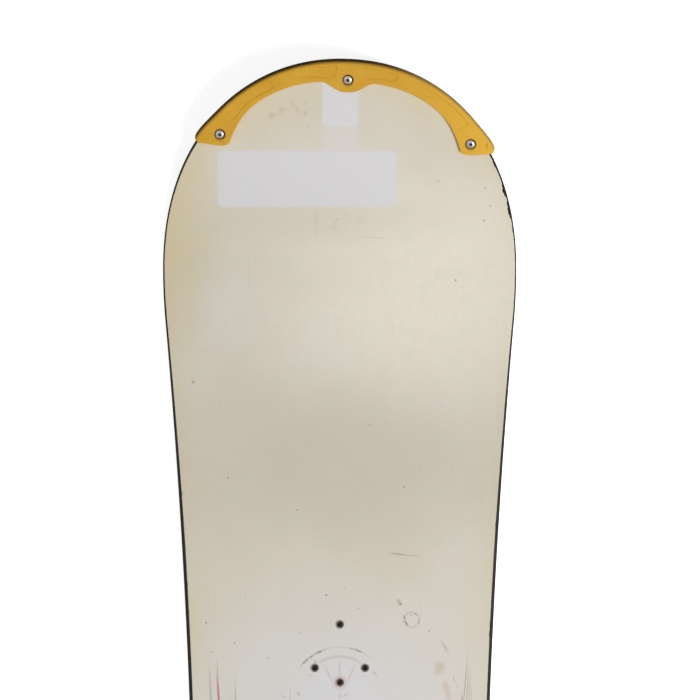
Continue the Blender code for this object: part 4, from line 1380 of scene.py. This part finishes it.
depths_at_screws = [guard_depth(0.0), guard_depth(END_SCREW_ALONG)]
print("depth at the middle and the end screws in mm:", in_mm(depths_at_screws))

# %% [markdown]
# Shallow panels with rounded corners are sunk into the guard's top, two on each half. In the
# mould they save weight and keep the skin from sinking. They are a third of a millimetre deep:
# a bump could fake them, but as geometry they stay true from every side.
# %% The guard's sunken panels
PANEL_DEPTH = 0.0003
PANEL_SLOPE = 0.0003
PANEL_CORNER = 0.0026
PANEL_OUTER = 0.0015
PANEL_DIVIDE = 0.057  # halfway between the two panels of a half
MIDDLE_PANEL = (0.0085, 0.0442)  # its start at the edge, and its end
MIDDLE_PANEL_LEAN = 0.41  # how much farther on it starts for each metre inwards
MIDDLE_PANEL_INNER = (0.0118, -0.0046, 0.012, 0.034)  # inner edge, its change, from, over
END_PANEL = (0.0695, 0.1198)
END_PANEL_INNER = (0.0080, 0.0032, 0.096, 0.021)


def ease(share):
    """0 below 0, 1 above 1, and a soft rise between them."""
    share = min(1.0, max(0.0, share))
    return share * share * (3 - 2 * share)


def panel_bounds(along, depth):
    """(start, end, inner edge) of the panel that is nearest: one by the middle, one by the end."""
    near_middle = along < PANEL_DIVIDE
    start, end = MIDDLE_PANEL if near_middle else END_PANEL
    if near_middle:
        start += MIDDLE_PANEL_LEAN * depth
    inner, change, first, span = MIDDLE_PANEL_INNER if near_middle else END_PANEL_INNER
    return start, end, inner + change * ease((along - first) / span)


def panel_share(along, depth):
    """1 on the floor of a panel, 0 outside it, and between them on its slope."""
    away = abs(along)
    start, end, inner = panel_bounds(away, depth)
    u = min(away - start, end - away)
    v = min(depth - PANEL_OUTER, inner - depth)
    inside = min(u, v)
    if u < PANEL_CORNER and v < PANEL_CORNER:
        inside = PANEL_CORNER - math.hypot(PANEL_CORNER - u, PANEL_CORNER - v)
    return ease(inside / (2 * PANEL_SLOPE) + 0.5)


print("on a panel and between two:", panel_share(0.09, 0.005), panel_share(PANEL_DIVIDE, 0.005))

# %% [markdown]
# Now the section at any station, from the foot of the outer wall over the rolled rim, across the
# top, round the inner edge and back underneath. At the ends it shrinks for the corners, stands
# off a little, and is set askew, because the real guard is cut across there.
# %% The guard's section
GUARD_WALL = 0.0015
GUARD_CLEARANCE = 0.0016
GUARD_UNDERSIDE = 0.0058
GUARD_FOOT = 0.0004
GUARD_SKEW = 0.48
GUARD_SKEW_LENGTH = 0.040
GUARD_INNER_CORNER = 0.0105
GUARD_OUTER_CORNER = 0.0008
GUARD_FLARE = 0.0016  # how far the ends stand off the edge
GUARD_FLARE_LENGTH = 0.032
GUARD_ROLL = 0.0024
GUARD_ROUND = 0.0008
SOILED_AND_SHADED_BAND = 0.0020  # how far the dirt and painted shade fade in over the top
SOILED_AND_SHADED_TOP = 0.15  # how much dirt and painted shade is left where the rim meets the top
WALL_STEPS = 3
ROLL_STEPS = 10
TOP_STEPS = 34
ROUND_STEPS = 4


def rounded(share):
    """How far a quarter circle has dropped at a share of its radius."""
    return 1 - math.sqrt(max(0.0, 1 - max(0.0, share) ** 2))


def guard_section(along):
    """Each corner at one station: depth, height, share of the wall, share of the groove."""
    away = abs(along)
    left = GUARD_LENGTH - away
    corner = rounded(1 - left / GUARD_INNER_CORNER)
    rounding = GUARD_ROUND * rounded(1 - left / GUARD_ROUND)
    skew = GUARD_SKEW * max(0.0, away - GUARD_LENGTH + GUARD_SKEW_LENGTH) / GUARD_SKEW_LENGTH
    inner = guard_depth(away - skew * guard_depth(away)) - GUARD_INNER_CORNER * corner - rounding
    flare = GUARD_FLARE * ease(1 - left / GUARD_FLARE_LENGTH)
    outer = GUARD_OUTER_CORNER * corner + rounding - GUARD_CLEARANCE - GUARD_WALL - flare
    top = GUARD_TOP - rounding
    roll = GUARD_ROLL - rounding
    corners = []
    for i in range(WALL_STEPS):
        corners.append((outer, GUARD_FOOT + (top - roll - GUARD_FOOT) * i / WALL_STEPS, 1.0, 0.0))
    for i in range(ROLL_STEPS + 1):
        turn = math.pi / 2 * i / ROLL_STEPS
        depth = outer + roll * (1 - math.cos(turn))
        dirt_and_shade_amount = 1 - (1 - SOILED_AND_SHADED_TOP) * i / ROLL_STEPS
        corners.append((depth, top - roll * (1 - math.sin(turn)), dirt_and_shade_amount, 0.0))
    first, last = outer + roll, inner - GUARD_ROUND
    for i in range(1, TOP_STEPS + 1):
        depth = first + (last - first) * i / TOP_STEPS
        share = panel_share(along, depth)
        dirt_and_shade_amount = SOILED_AND_SHADED_TOP * max(0.0, 1 - (depth - first) / SOILED_AND_SHADED_BAND)
        corners.append((depth, top - PANEL_DEPTH * share, dirt_and_shade_amount, 4 * share * (1 - share)))
    for i in range(1, ROUND_STEPS + 1):
        turn = math.pi / 2 * i / ROUND_STEPS
        depth = last + GUARD_ROUND * math.sin(turn)
        corners.append((depth, top - GUARD_ROUND * (1 - math.cos(turn)), 0.0, 0.0))
    inside = min(-GUARD_CLEARANCE, inner)
    for depth, t in ((inner, GUARD_UNDERSIDE), (inside, GUARD_UNDERSIDE), (inside, GUARD_FOOT)):
        corners.append((depth, t, 0.0, 0.0))
    return [*corners, corners[0]], skew


rows = len(guard_section(0.0)[0])
print("corners of the guard's section:", rows)

# %% [markdown]
# The stations lie close together, so that the panels' corners are round, and closer still where
# the ends are rounded off.
# %% Stations along the guard
GUARD_STATIONS = 400
GUARD_END_STATIONS = 12


def guard_stations():
    straight = GUARD_LENGTH - GUARD_INNER_CORNER
    half = [straight * i / (GUARD_STATIONS // 2) for i in range(GUARD_STATIONS // 2 + 1)]
    for i in range(1, GUARD_END_STATIONS + 1):
        half.append(straight + GUARD_INNER_CORNER * math.sin(math.pi / 2 * i / GUARD_END_STATIONS))
    return [-a for a in reversed(half[1:])] + half


stations = guard_stations()
print("stations:", len(stations))

# %% [markdown]
# Fasteners are turned parts, so each is a stack of rings moved to a profile of radii. A thread
# is cut by moving the rings of the bore or shank in and out once for each turn and pitch, which
# gives a true helix. One of each is modelled and then copied to its seats.
# %% Turned fasteners
INSERT_PITCH = 0.0010
THREAD_RINGS = 6  # for each turn of a thread


def turned(name, profile, sides=ROUND_SIDES, pitch=INSERT_PITCH):
    """profile has (radius, height, cut) for each ring; cut is the depth of a thread there."""
    piece = ring_stack(name, sides, len(profile))
    for vertex in piece.data.vertices:
        turn = turn_of(vertex)
        radius, height, cut = profile[round(vertex.co.z)]
        wave = abs((height / pitch - turn / math.tau) % 1 * 2 - 1)
        radius += cut * wave
        vertex.co = (-math.sin(turn) * radius, math.cos(turn) * radius, height)
    merge_and_turn_out(piece)
    return piece


def threaded(radius, start, end, cut, pitch):
    """The rings of a threaded stretch, with a plain ring at each end."""
    count = max(1, round(abs(end - start) / pitch * THREAD_RINGS))
    inner = [(radius, start + (end - start) * i / count, cut) for i in range(1, count)]
    return [(radius, start, 0.0), *inner, (radius, end, 0.0)]


def seat_copies(model, seats, height, material):
    """Copies a turned piece to each (node, x, s), square to the pressed surface."""
    for node, x, s in seats:
        copy = model.copy()
        copy.data = model.data.copy()
        copy.name = copy.data.name = "fine_" + node
        bpy.context.collection.objects.link(copy)
        foot, up = pressed_frame(s)
        place = Matrix.Translation(foot + up * height + Vector((x, 0, 0)))
        copy.data.transform(place @ up.to_track_quat("Z", "Y").to_matrix().to_4x4())
        hand_over(copy, node, material)
    bpy.data.objects.remove(model)


def bolt_seats(kind):
    """(node, x, s) of each guard's three screws or nuts."""
    seats = []
    for place, bolts in BOLTS.items():
        for number, (x, s) in enumerate(bolts, 1):
            seats.append((f"{place}_guard_{kind}_{number}", x, s))
    return seats


print("first seat:", bolt_seats("screw")[0][0])

# %% [markdown]
# Each screw sits in a counterbore with a flared mouth over a plain hole. A turned solid with
# those steps is the drill, and it is taken away from the flat guard before it is pressed.
# %% The stepped drill
SCREW_SHANK = 0.0020
SCREW_HEAD = 0.0040
COUNTERBORE = 0.0043
COUNTERBORE_DEPTH = 0.0013
COUNTERBORE_FLARE = 0.0007
SCREW_HOLE = SCREW_SHANK + HAIRLINE
DRILL_STEPS = (
    (0.0, GUARD_TOP + COUNTERBORE_FLARE, 0.0),
    (COUNTERBORE + 2 * COUNTERBORE_FLARE, GUARD_TOP + COUNTERBORE_FLARE, 0.0),
    (COUNTERBORE, GUARD_TOP - COUNTERBORE_FLARE, 0.0),
    (COUNTERBORE, GUARD_TOP - COUNTERBORE_DEPTH, 0.0),
    (SCREW_HOLE, GUARD_TOP - COUNTERBORE_DEPTH, 0.0),
    (SCREW_HOLE, DRILL_FLOOR, 0.0),
    (0.0, DRILL_FLOOR, 0.0),
)
print("the drill's widest and narrowest radius in mm:", in_mm((DRILL_STEPS[1][0], SCREW_HOLE), 2))

# %% [markdown]
# The guard starts as a flat grid with a column for each station and a row for each corner of the
# section. Every vertex is moved to its place, so the first and last row meet and are welded, and
# the two open ends are filled. Spin or a curve with a bevel would need one section all along.
# %% Wrap the grid round the tip
def guard_dirt_and_shade(along, place):
    """How much dirt and painted shade the wall gets at this station. On the nose it is strongest
    on the left and fades to the right, where the lamp lights the wall; on the tail it rises and
    falls along the guard.
    """
    if place == "nose":
        return 1.0 - 0.6 * ease((along - 0.01) / 0.08)
    return 0.55 + 0.35 * math.sin(along * 40)


def wrapped_grid(place):
    """The guard's shell on the flat tip, with its dirt and painted shade as attributes, and still
    open.
    """
    bpy.ops.object.select_all(action="DESELECT")
    across, up = len(stations) - 1, rows - 1
    bpy.ops.mesh.primitive_grid_add(x_subdivisions=across, y_subdivisions=up, size=2)
    piece = bpy.context.active_object
    piece.name = piece.data.name = f"fine_{place}_guard"
    sections = [guard_section(along) for along in stations]
    wall = piece.data.attributes.new("wall", "FLOAT", "POINT")
    groove = piece.data.attributes.new("groove", "FLOAT", "POINT")
    for number, vertex in enumerate(piece.data.vertices):
        i = round((vertex.co.x + 1) / 2 * across)
        j = round((vertex.co.y + 1) / 2 * up)
        corners, skew = sections[i]
        depth, t, wall_share, groove_share = corners[j]
        along = stations[i]
        lagging = along - math.copysign(skew * depth, along)
        edge, inward = edge_at(lagging)
        point = edge + inward * depth
        vertex.co = (point.x, point.y, t)
        wall.data[number].value = wall_share * guard_dirt_and_shade(along, place)
        groove.data[number].value = groove_share
    return piece


print("the guard's grid has", len(stations) * rows, "points")

# %% [markdown]
# Fill Holes closes both ends with one large face each. Such a face isn't flat, so it is cut into
# triangles by clipping its ears, which never cross its outline. Then the guard is drilled, set
# on its tip, askew as on the real board, and pressed like the layers.
# %% Make the guards
GUARD_SMOOTH_DEGREES = 35


def close_shell(piece):
    """Welds the section, fills the two ends, and cuts those large faces into triangles."""
    edit_all(piece)
    bpy.ops.mesh.remove_doubles(threshold=WELD_DISTANCE)
    bpy.ops.mesh.fill_holes(sides=0)
    bpy.ops.mesh.select_mode(type="FACE")
    bpy.ops.mesh.select_all(action="DESELECT")
    bpy.ops.mesh.select_face_by_sides(number=4, type="GREATER")
    bpy.ops.mesh.quads_convert_to_tris(ngon_method="CLIP")
    bpy.ops.mesh.select_mode(type="VERT")
    bpy.ops.mesh.select_all(action="SELECT")
    bpy.ops.mesh.normals_make_consistent(inside=False)
    leave_edit()


def make_guard(place, turn, end):
    """A whole guard: wrapped, closed, drilled, set on its tip and pressed."""
    piece = wrapped_grid(place)
    close_shell(piece)
    for x, s in guard_screw_places():
        tool = turned("stepped_drill", DRILL_STEPS)
        tool.data.transform(Matrix.Translation((x, s, 0.0)))
        cut_away(piece, tool)
    for vertex in piece.data.vertices:
        x, s = on_board(vertex.co.x, vertex.co.y, turn, end)
        vertex.co = (x, s, vertex.co.z)
    press(piece)
    smooth(piece, GUARD_SMOOTH_DEGREES)
    hand_over(piece, f"{place}_guard", guard_finish)
    print(piece.name, "faces:", len(piece.data.polygons))


for place, turn, end in ENDS:
    make_guard(place, turn, end)

# %% [markdown]
# The screws have a low domed head with a hexagon socket, and a rolled thread on the shank. The
# dome is a quarter of an ellipse, the socket is drilled with a six-sided drill, and a second
# shallow cone breaks its rim, which is the bright ring that the eye sees.
# %% Button-head screws
HEAD_HEIGHT = 0.0022
HEAD_FLAT = 0.0016
HEAD_RIM = 0.0005
HEAD_BEDDING = 0.0003  # how far the head stands off the counterbore's floor
DOME_STEPS = 12
SOCKET = 0.00145
SOCKET_DEPTH = 0.0013
SOCKET_BREAK = 0.0003
SCREW_PITCH = 0.0007
SCREW_THREAD_DEPTH = 0.0004
PLAIN_SHANK = 0.0002
NUT_FLOOR = 0.0004
FINE = 0.0001  # the smallest step on a fastener
head_floor = GUARD_TOP - COUNTERBORE_DEPTH + HEAD_BEDDING
shank = head_floor - EDGE_HEIGHT - 2 * NUT_FLOOR

profile = [(0.0, HEAD_HEIGHT, 0.0)]
for i in range(DOME_STEPS + 1):
    turn = math.pi / 2 * i / DOME_STEPS
    radius = HEAD_FLAT + (SCREW_HEAD - HEAD_FLAT) * math.sin(turn)
    profile.append((radius, HEAD_RIM + (HEAD_HEIGHT - HEAD_RIM) * math.cos(turn), 0.0))
profile += [(SCREW_HEAD, FINE, 0.0), (SCREW_HEAD - FINE, 0.0, 0.0), (SCREW_SHANK, 0.0, 0.0)]
thread_end = SCREW_THREAD_DEPTH - shank
profile += threaded(SCREW_SHANK, -PLAIN_SHANK, thread_end, -SCREW_THREAD_DEPTH, SCREW_PITCH)
profile += [(SCREW_SHANK - SCREW_THREAD_DEPTH, -shank, 0.0), (0.0, -shank, 0.0)]
screw = turned("screw_model", profile, pitch=SCREW_PITCH)
middle = [(0.0, 0.0)]
above = HEAD_HEIGHT + 0.001  # clear of the head, so that the drill cuts no thin skin
drill(screw, middle, SOCKET, HEAD_HEIGHT - SOCKET_DEPTH, above, sides=6)
drill(screw, middle, SOCKET - FINE, HEAD_HEIGHT - 2 * FINE, HEAD_HEIGHT + FINE, SOCKET_BREAK)
smooth(screw)


def mark_dirt_and_shade(piece, dirt_and_shade_amount):
    """Gives a piece an attribute of dirt and painted shade, as much as the given function says for
    each radius and height.
    """
    dirt_and_shade = piece.data.attributes.new("dirt_and_shade", "FLOAT", "POINT")
    for vertex in piece.data.vertices:
        dirt_and_shade.data[vertex.index].value = dirt_and_shade_amount(math.hypot(vertex.co.x, vertex.co.y), vertex.co.z)


def socket_dirt_and_shade(radius, t):
    """Dirt and painted shade in the socket, up to just below its rim."""
    return float(radius < SOCKET + FINE and 0 < t < HEAD_HEIGHT - 4 * FINE)


mark_dirt_and_shade(screw, socket_dirt_and_shade)
seat_copies(screw, bolt_seats("screw"), head_floor, screw_finish)
print("screws seated:", len(bolt_seats("screw")))

# %% [markdown]
# Barrel nuts come up through the base and meet the screws. They lie a hair below its surface,
# so that they can't scratch, and a slot holds them while the screw is turned.
# %% Barrel nuts
NUT_NECK = 0.0031
NUT_RECESS = 0.0002
NUT_CHAMFER = 0.0002
NUT_SLOT = (0.0060, 0.0012)
NUT_SLOT_DEPTH = 0.0007
NUT_THREAD_DEPTH = 0.0003
neck_top = DECK - NUT_RECESS
head_top = EDGE_HEIGHT - NUT_RECESS
bore = SCREW_SHANK + FINE
profile = [(0.0, head_top + NUT_FLOOR, 0.0)]
profile += threaded(bore, head_top + NUT_FLOOR, neck_top, NUT_THREAD_DEPTH, SCREW_PITCH)
profile += [
    (NUT_NECK, neck_top, 0.0),
    (NUT_NECK, head_top, 0.0),
    (NUT_HEAD, head_top, 0.0),
    (NUT_HEAD, NUT_CHAMFER, 0.0),
    (NUT_HEAD - NUT_CHAMFER, 0.0, 0.0),
    (0.0, 0.0, 0.0),
]
nut = turned("nut_model", profile, pitch=SCREW_PITCH)
bpy.ops.object.select_all(action="DESELECT")
bpy.ops.mesh.primitive_cube_add(size=1)
slot_tool = bpy.context.active_object
slot_tool.scale = (*NUT_SLOT, 2 * NUT_SLOT_DEPTH)
bpy.ops.object.transform_apply(location=False, rotation=False, scale=True)
cut_away(nut, slot_tool)
smooth(nut)


def nut_dirt_and_shade(radius, t):
    """Dirt and painted shade in the slot, and down the bore."""
    in_slot = FINE < t < NUT_SLOT_DEPTH + 2 * FINE
    in_bore = radius < NUT_NECK - 2 * FINE and t > 0.001
    return 0.8 if in_slot or in_bore else 0.0


mark_dirt_and_shade(nut, nut_dirt_and_shade)
seat_copies(nut, bolt_seats("nut"), NUT_RECESS, nut_finish)
print("nuts seated:", len(bolt_seats("nut")))

# %% [markdown]
# Inserts are flanged sleeves with an M6 thread, pressed into the core from below, so that a
# binding can't pull them out. Their mouths are countersunk, and the thread is darkened by grime
# and painted shade, the more the deeper.
# %% Threaded inserts
INSERT_BORE = 0.0025
INSERT_THREAD_DEPTH = 0.0005
INSERT_FLANGE = 0.0085
INSERT_FLANGE_HEIGHT = 0.0012
INSERT_FLOOR = 0.0010
INSERT_TOP = 0.0061
INSERT_CHAMFER = 0.0008
INSERT_CHAMFER_DEPTH = 0.0005
INSERT_DIRT_AND_SHADE_DEPTH = 0.0045
INSERT_EDGE = 0.0002
PACK = 8  # inserts for each foot
thread_top = INSERT_TOP - INSERT_CHAMFER_DEPTH
profile = [(0.0, INSERT_FLOOR, 0.0)]
profile += threaded(INSERT_BORE, INSERT_FLOOR, thread_top, INSERT_THREAD_DEPTH, INSERT_PITCH)
profile += [
    (INSERT_BORE + INSERT_CHAMFER, INSERT_TOP, 0.0),
    (INSERT_NECK - INSERT_EDGE, INSERT_TOP, 0.0),
    (INSERT_NECK, INSERT_TOP - INSERT_EDGE, 0.0),
    (INSERT_NECK, INSERT_FLANGE_HEIGHT, 0.0),
    (INSERT_FLANGE, INSERT_FLANGE_HEIGHT, 0.0),
    (INSERT_FLANGE, 0.0, 0.0),
    (0.0, 0.0, 0.0),
]
insert = turned("insert_model", profile)
smooth(insert)
# Grime and painted shade, darker the deeper down the bore.
mark_dirt_and_shade(insert, lambda radius, t: min(0.55, 0.05 + (INSERT_TOP - t) / INSERT_DIRT_AND_SHADE_DEPTH))
seats = []
for number, (x, s) in enumerate(INSERT_HOLES):
    foot = "front" if number < PACK else "rear"
    seats.append((f"insert_{foot}_{number % PACK + 1}", x, s))
seat_copies(insert, seats, CORE_FLOOR, insert_finish)
print("inserts seated:", len(seats))

# %% [markdown]
# The wood core is out of sight but for its holes, so its CAD solid stays as it is and only gets
# its material.
# %% The wood core stays as it is
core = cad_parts["wood_core"]
core.material_slots[0].material = core_finish
print("core keeps its shape:", core.name)

# %% [markdown]
# The board lies on a plain pale floor. The floor and the surroundings look white to the camera
# and in reflections, but throw little light back, so that the dark sides stay dark. A little
# glow for the camera alone keeps the shadow faint, as in a product photograph.
# %% Floor
FLOOR_SIZE = 12.0
FLOOR_LIT = "#6E6E6E"  # its colour for the light that it throws back
FLOOR_SEEN = "#F4F4F4"
CAMERA_GLOW = 0.74  # added to the lit floor, so that the camera sees it pure white
GLOSSY_GLOW = 0.25  # in reflections the lit floor needs less to come to white
WHITE = "#FFFFFF"

bpy.ops.mesh.primitive_plane_add(size=FLOOR_SIZE, location=(0, 0, 0))
floor = bpy.context.active_object
floor.name = "studio_floor"
floor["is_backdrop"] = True
floor_finish = bpy.data.materials.new("painted_white_floor")
floor_finish.use_nodes = True
tree = floor_finish.node_tree
shader = tree.nodes["Principled BSDF"]


def seen_directly(tree):
    """1 for camera rays, and 1 for all rays that show the studio, also in a reflection."""
    camera_ray = add(tree, "LightPath", out="Is Camera Ray")
    rays = camera_ray.node.outputs
    shown = add(tree, "Math", {0: camera_ray, 1: rays["Is Glossy Ray"]}, operation="MAXIMUM")
    shown = add(tree, "Math", {0: shown, 1: rays["Is Transmission Ray"]}, operation="MAXIMUM")
    return camera_ray, shown


camera_ray, shown = seen_directly(tree)
shades = {0: shown, 6: linear(FLOOR_LIT), 7: linear(FLOOR_SEEN)}
colour = add(tree, "Mix", shades, out=2, data_type="RGBA")
tree.links.new(colour, shader.inputs["Base Color"])
shader.inputs["Roughness"].default_value = 0.9
shader.inputs["Emission Color"].default_value = linear(WHITE)
glow = add(tree, "MapRange", {0: camera_ray, 3: GLOSSY_GLOW, 4: CAMERA_GLOW})
glow = add(tree, "Math", {0: shown, 1: glow}, operation="MULTIPLY")
tree.links.new(glow, shader.inputs["Emission Strength"])
floor.data.materials.append(floor_finish)
print("floor side in metres:", FLOOR_SIZE)

# %% [markdown]
# The world is the rest of the studio: white where it is seen, and a dim even light elsewhere,
# which fills the shadows as pale walls would.
# %% Surroundings
AMBIENT = 0.16
world = bpy.data.worlds.new("studio")
bpy.context.scene.world = world
world.use_nodes = True
tree = world.node_tree
background = tree.nodes["Background"]
background.inputs["Color"].default_value = linear(WHITE)
camera_ray, shown = seen_directly(tree)
strength = add(tree, "MapRange", {0: shown, 3: AMBIENT, 4: 1.0})
tree.links.new(strength, background.inputs["Strength"])
print("ambient light:", AMBIENT)

# %% [markdown]
# One large soft lamp to the right and towards the tail lights the deck at a slant, so the
# guard's wall falls dark at the top and left and bright on the right. A weak lamp fills in.
# %% Lamps
AIM = Vector((0.0, 0.45, 0.0))
LAMP_DISTANCE = 4.0


def add_lamp(name, direction, size, watts):
    """A square lamp that shines on the front half from a direction."""
    data = bpy.data.lights.new(name, "AREA")
    data.shape = "SQUARE"
    data.size = size
    data.energy = watts
    lamp = bpy.data.objects.new(name, data)
    bpy.context.collection.objects.link(lamp)
    lamp.location = AIM + Vector(direction).normalized() * LAMP_DISTANCE
    lamp.rotation_euler = Vector(direction).to_track_quat("Z", "Y").to_euler()
    print(name, "in watts:", watts)


add_lamp("key_lamp", (0.62, -0.42, 0.85), 1.6, 150)
add_lamp("fill_lamp", (-0.5, 0.1, 1.0), 2.5, 18)

# %% [markdown]
# The photograph was taken from straight above, with a long lens, and shows the front half. The
# lens follows from how much of the deck the picture has to show at the camera's height.
# %% Camera
CAMERA_HEIGHT = 3.0  # above the deck
CAMERA_PLACE = (0.0089, 0.5492)
FRAME_WIDTH = 0.604  # how much of the deck's plane the picture shows
SENSOR = 36.0

camera_data = bpy.data.cameras.new("camera")
camera_data.sensor_width = SENSOR
camera_data.lens = SENSOR * CAMERA_HEIGHT / FRAME_WIDTH
camera = bpy.data.objects.new("camera", camera_data)
bpy.context.collection.objects.link(camera)
camera.location = (*CAMERA_PLACE, CAMERA_HEIGHT + DECK_TOP)
bpy.context.scene.camera = camera
bpy.context.scene.view_settings.view_transform = "Standard"
print("lens in mm:", round(camera_data.lens, 1))

# %% [markdown]
# The dressed board has to be as large as the CAD model, so both boxes are kept side by side.
# %% Sizes, and the end
boxes = {"cad": cad_box, "visual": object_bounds()}
for name, box in boxes.items():
    print(name, "box in mm:", [in_mm(corner, 2) for corner in box])
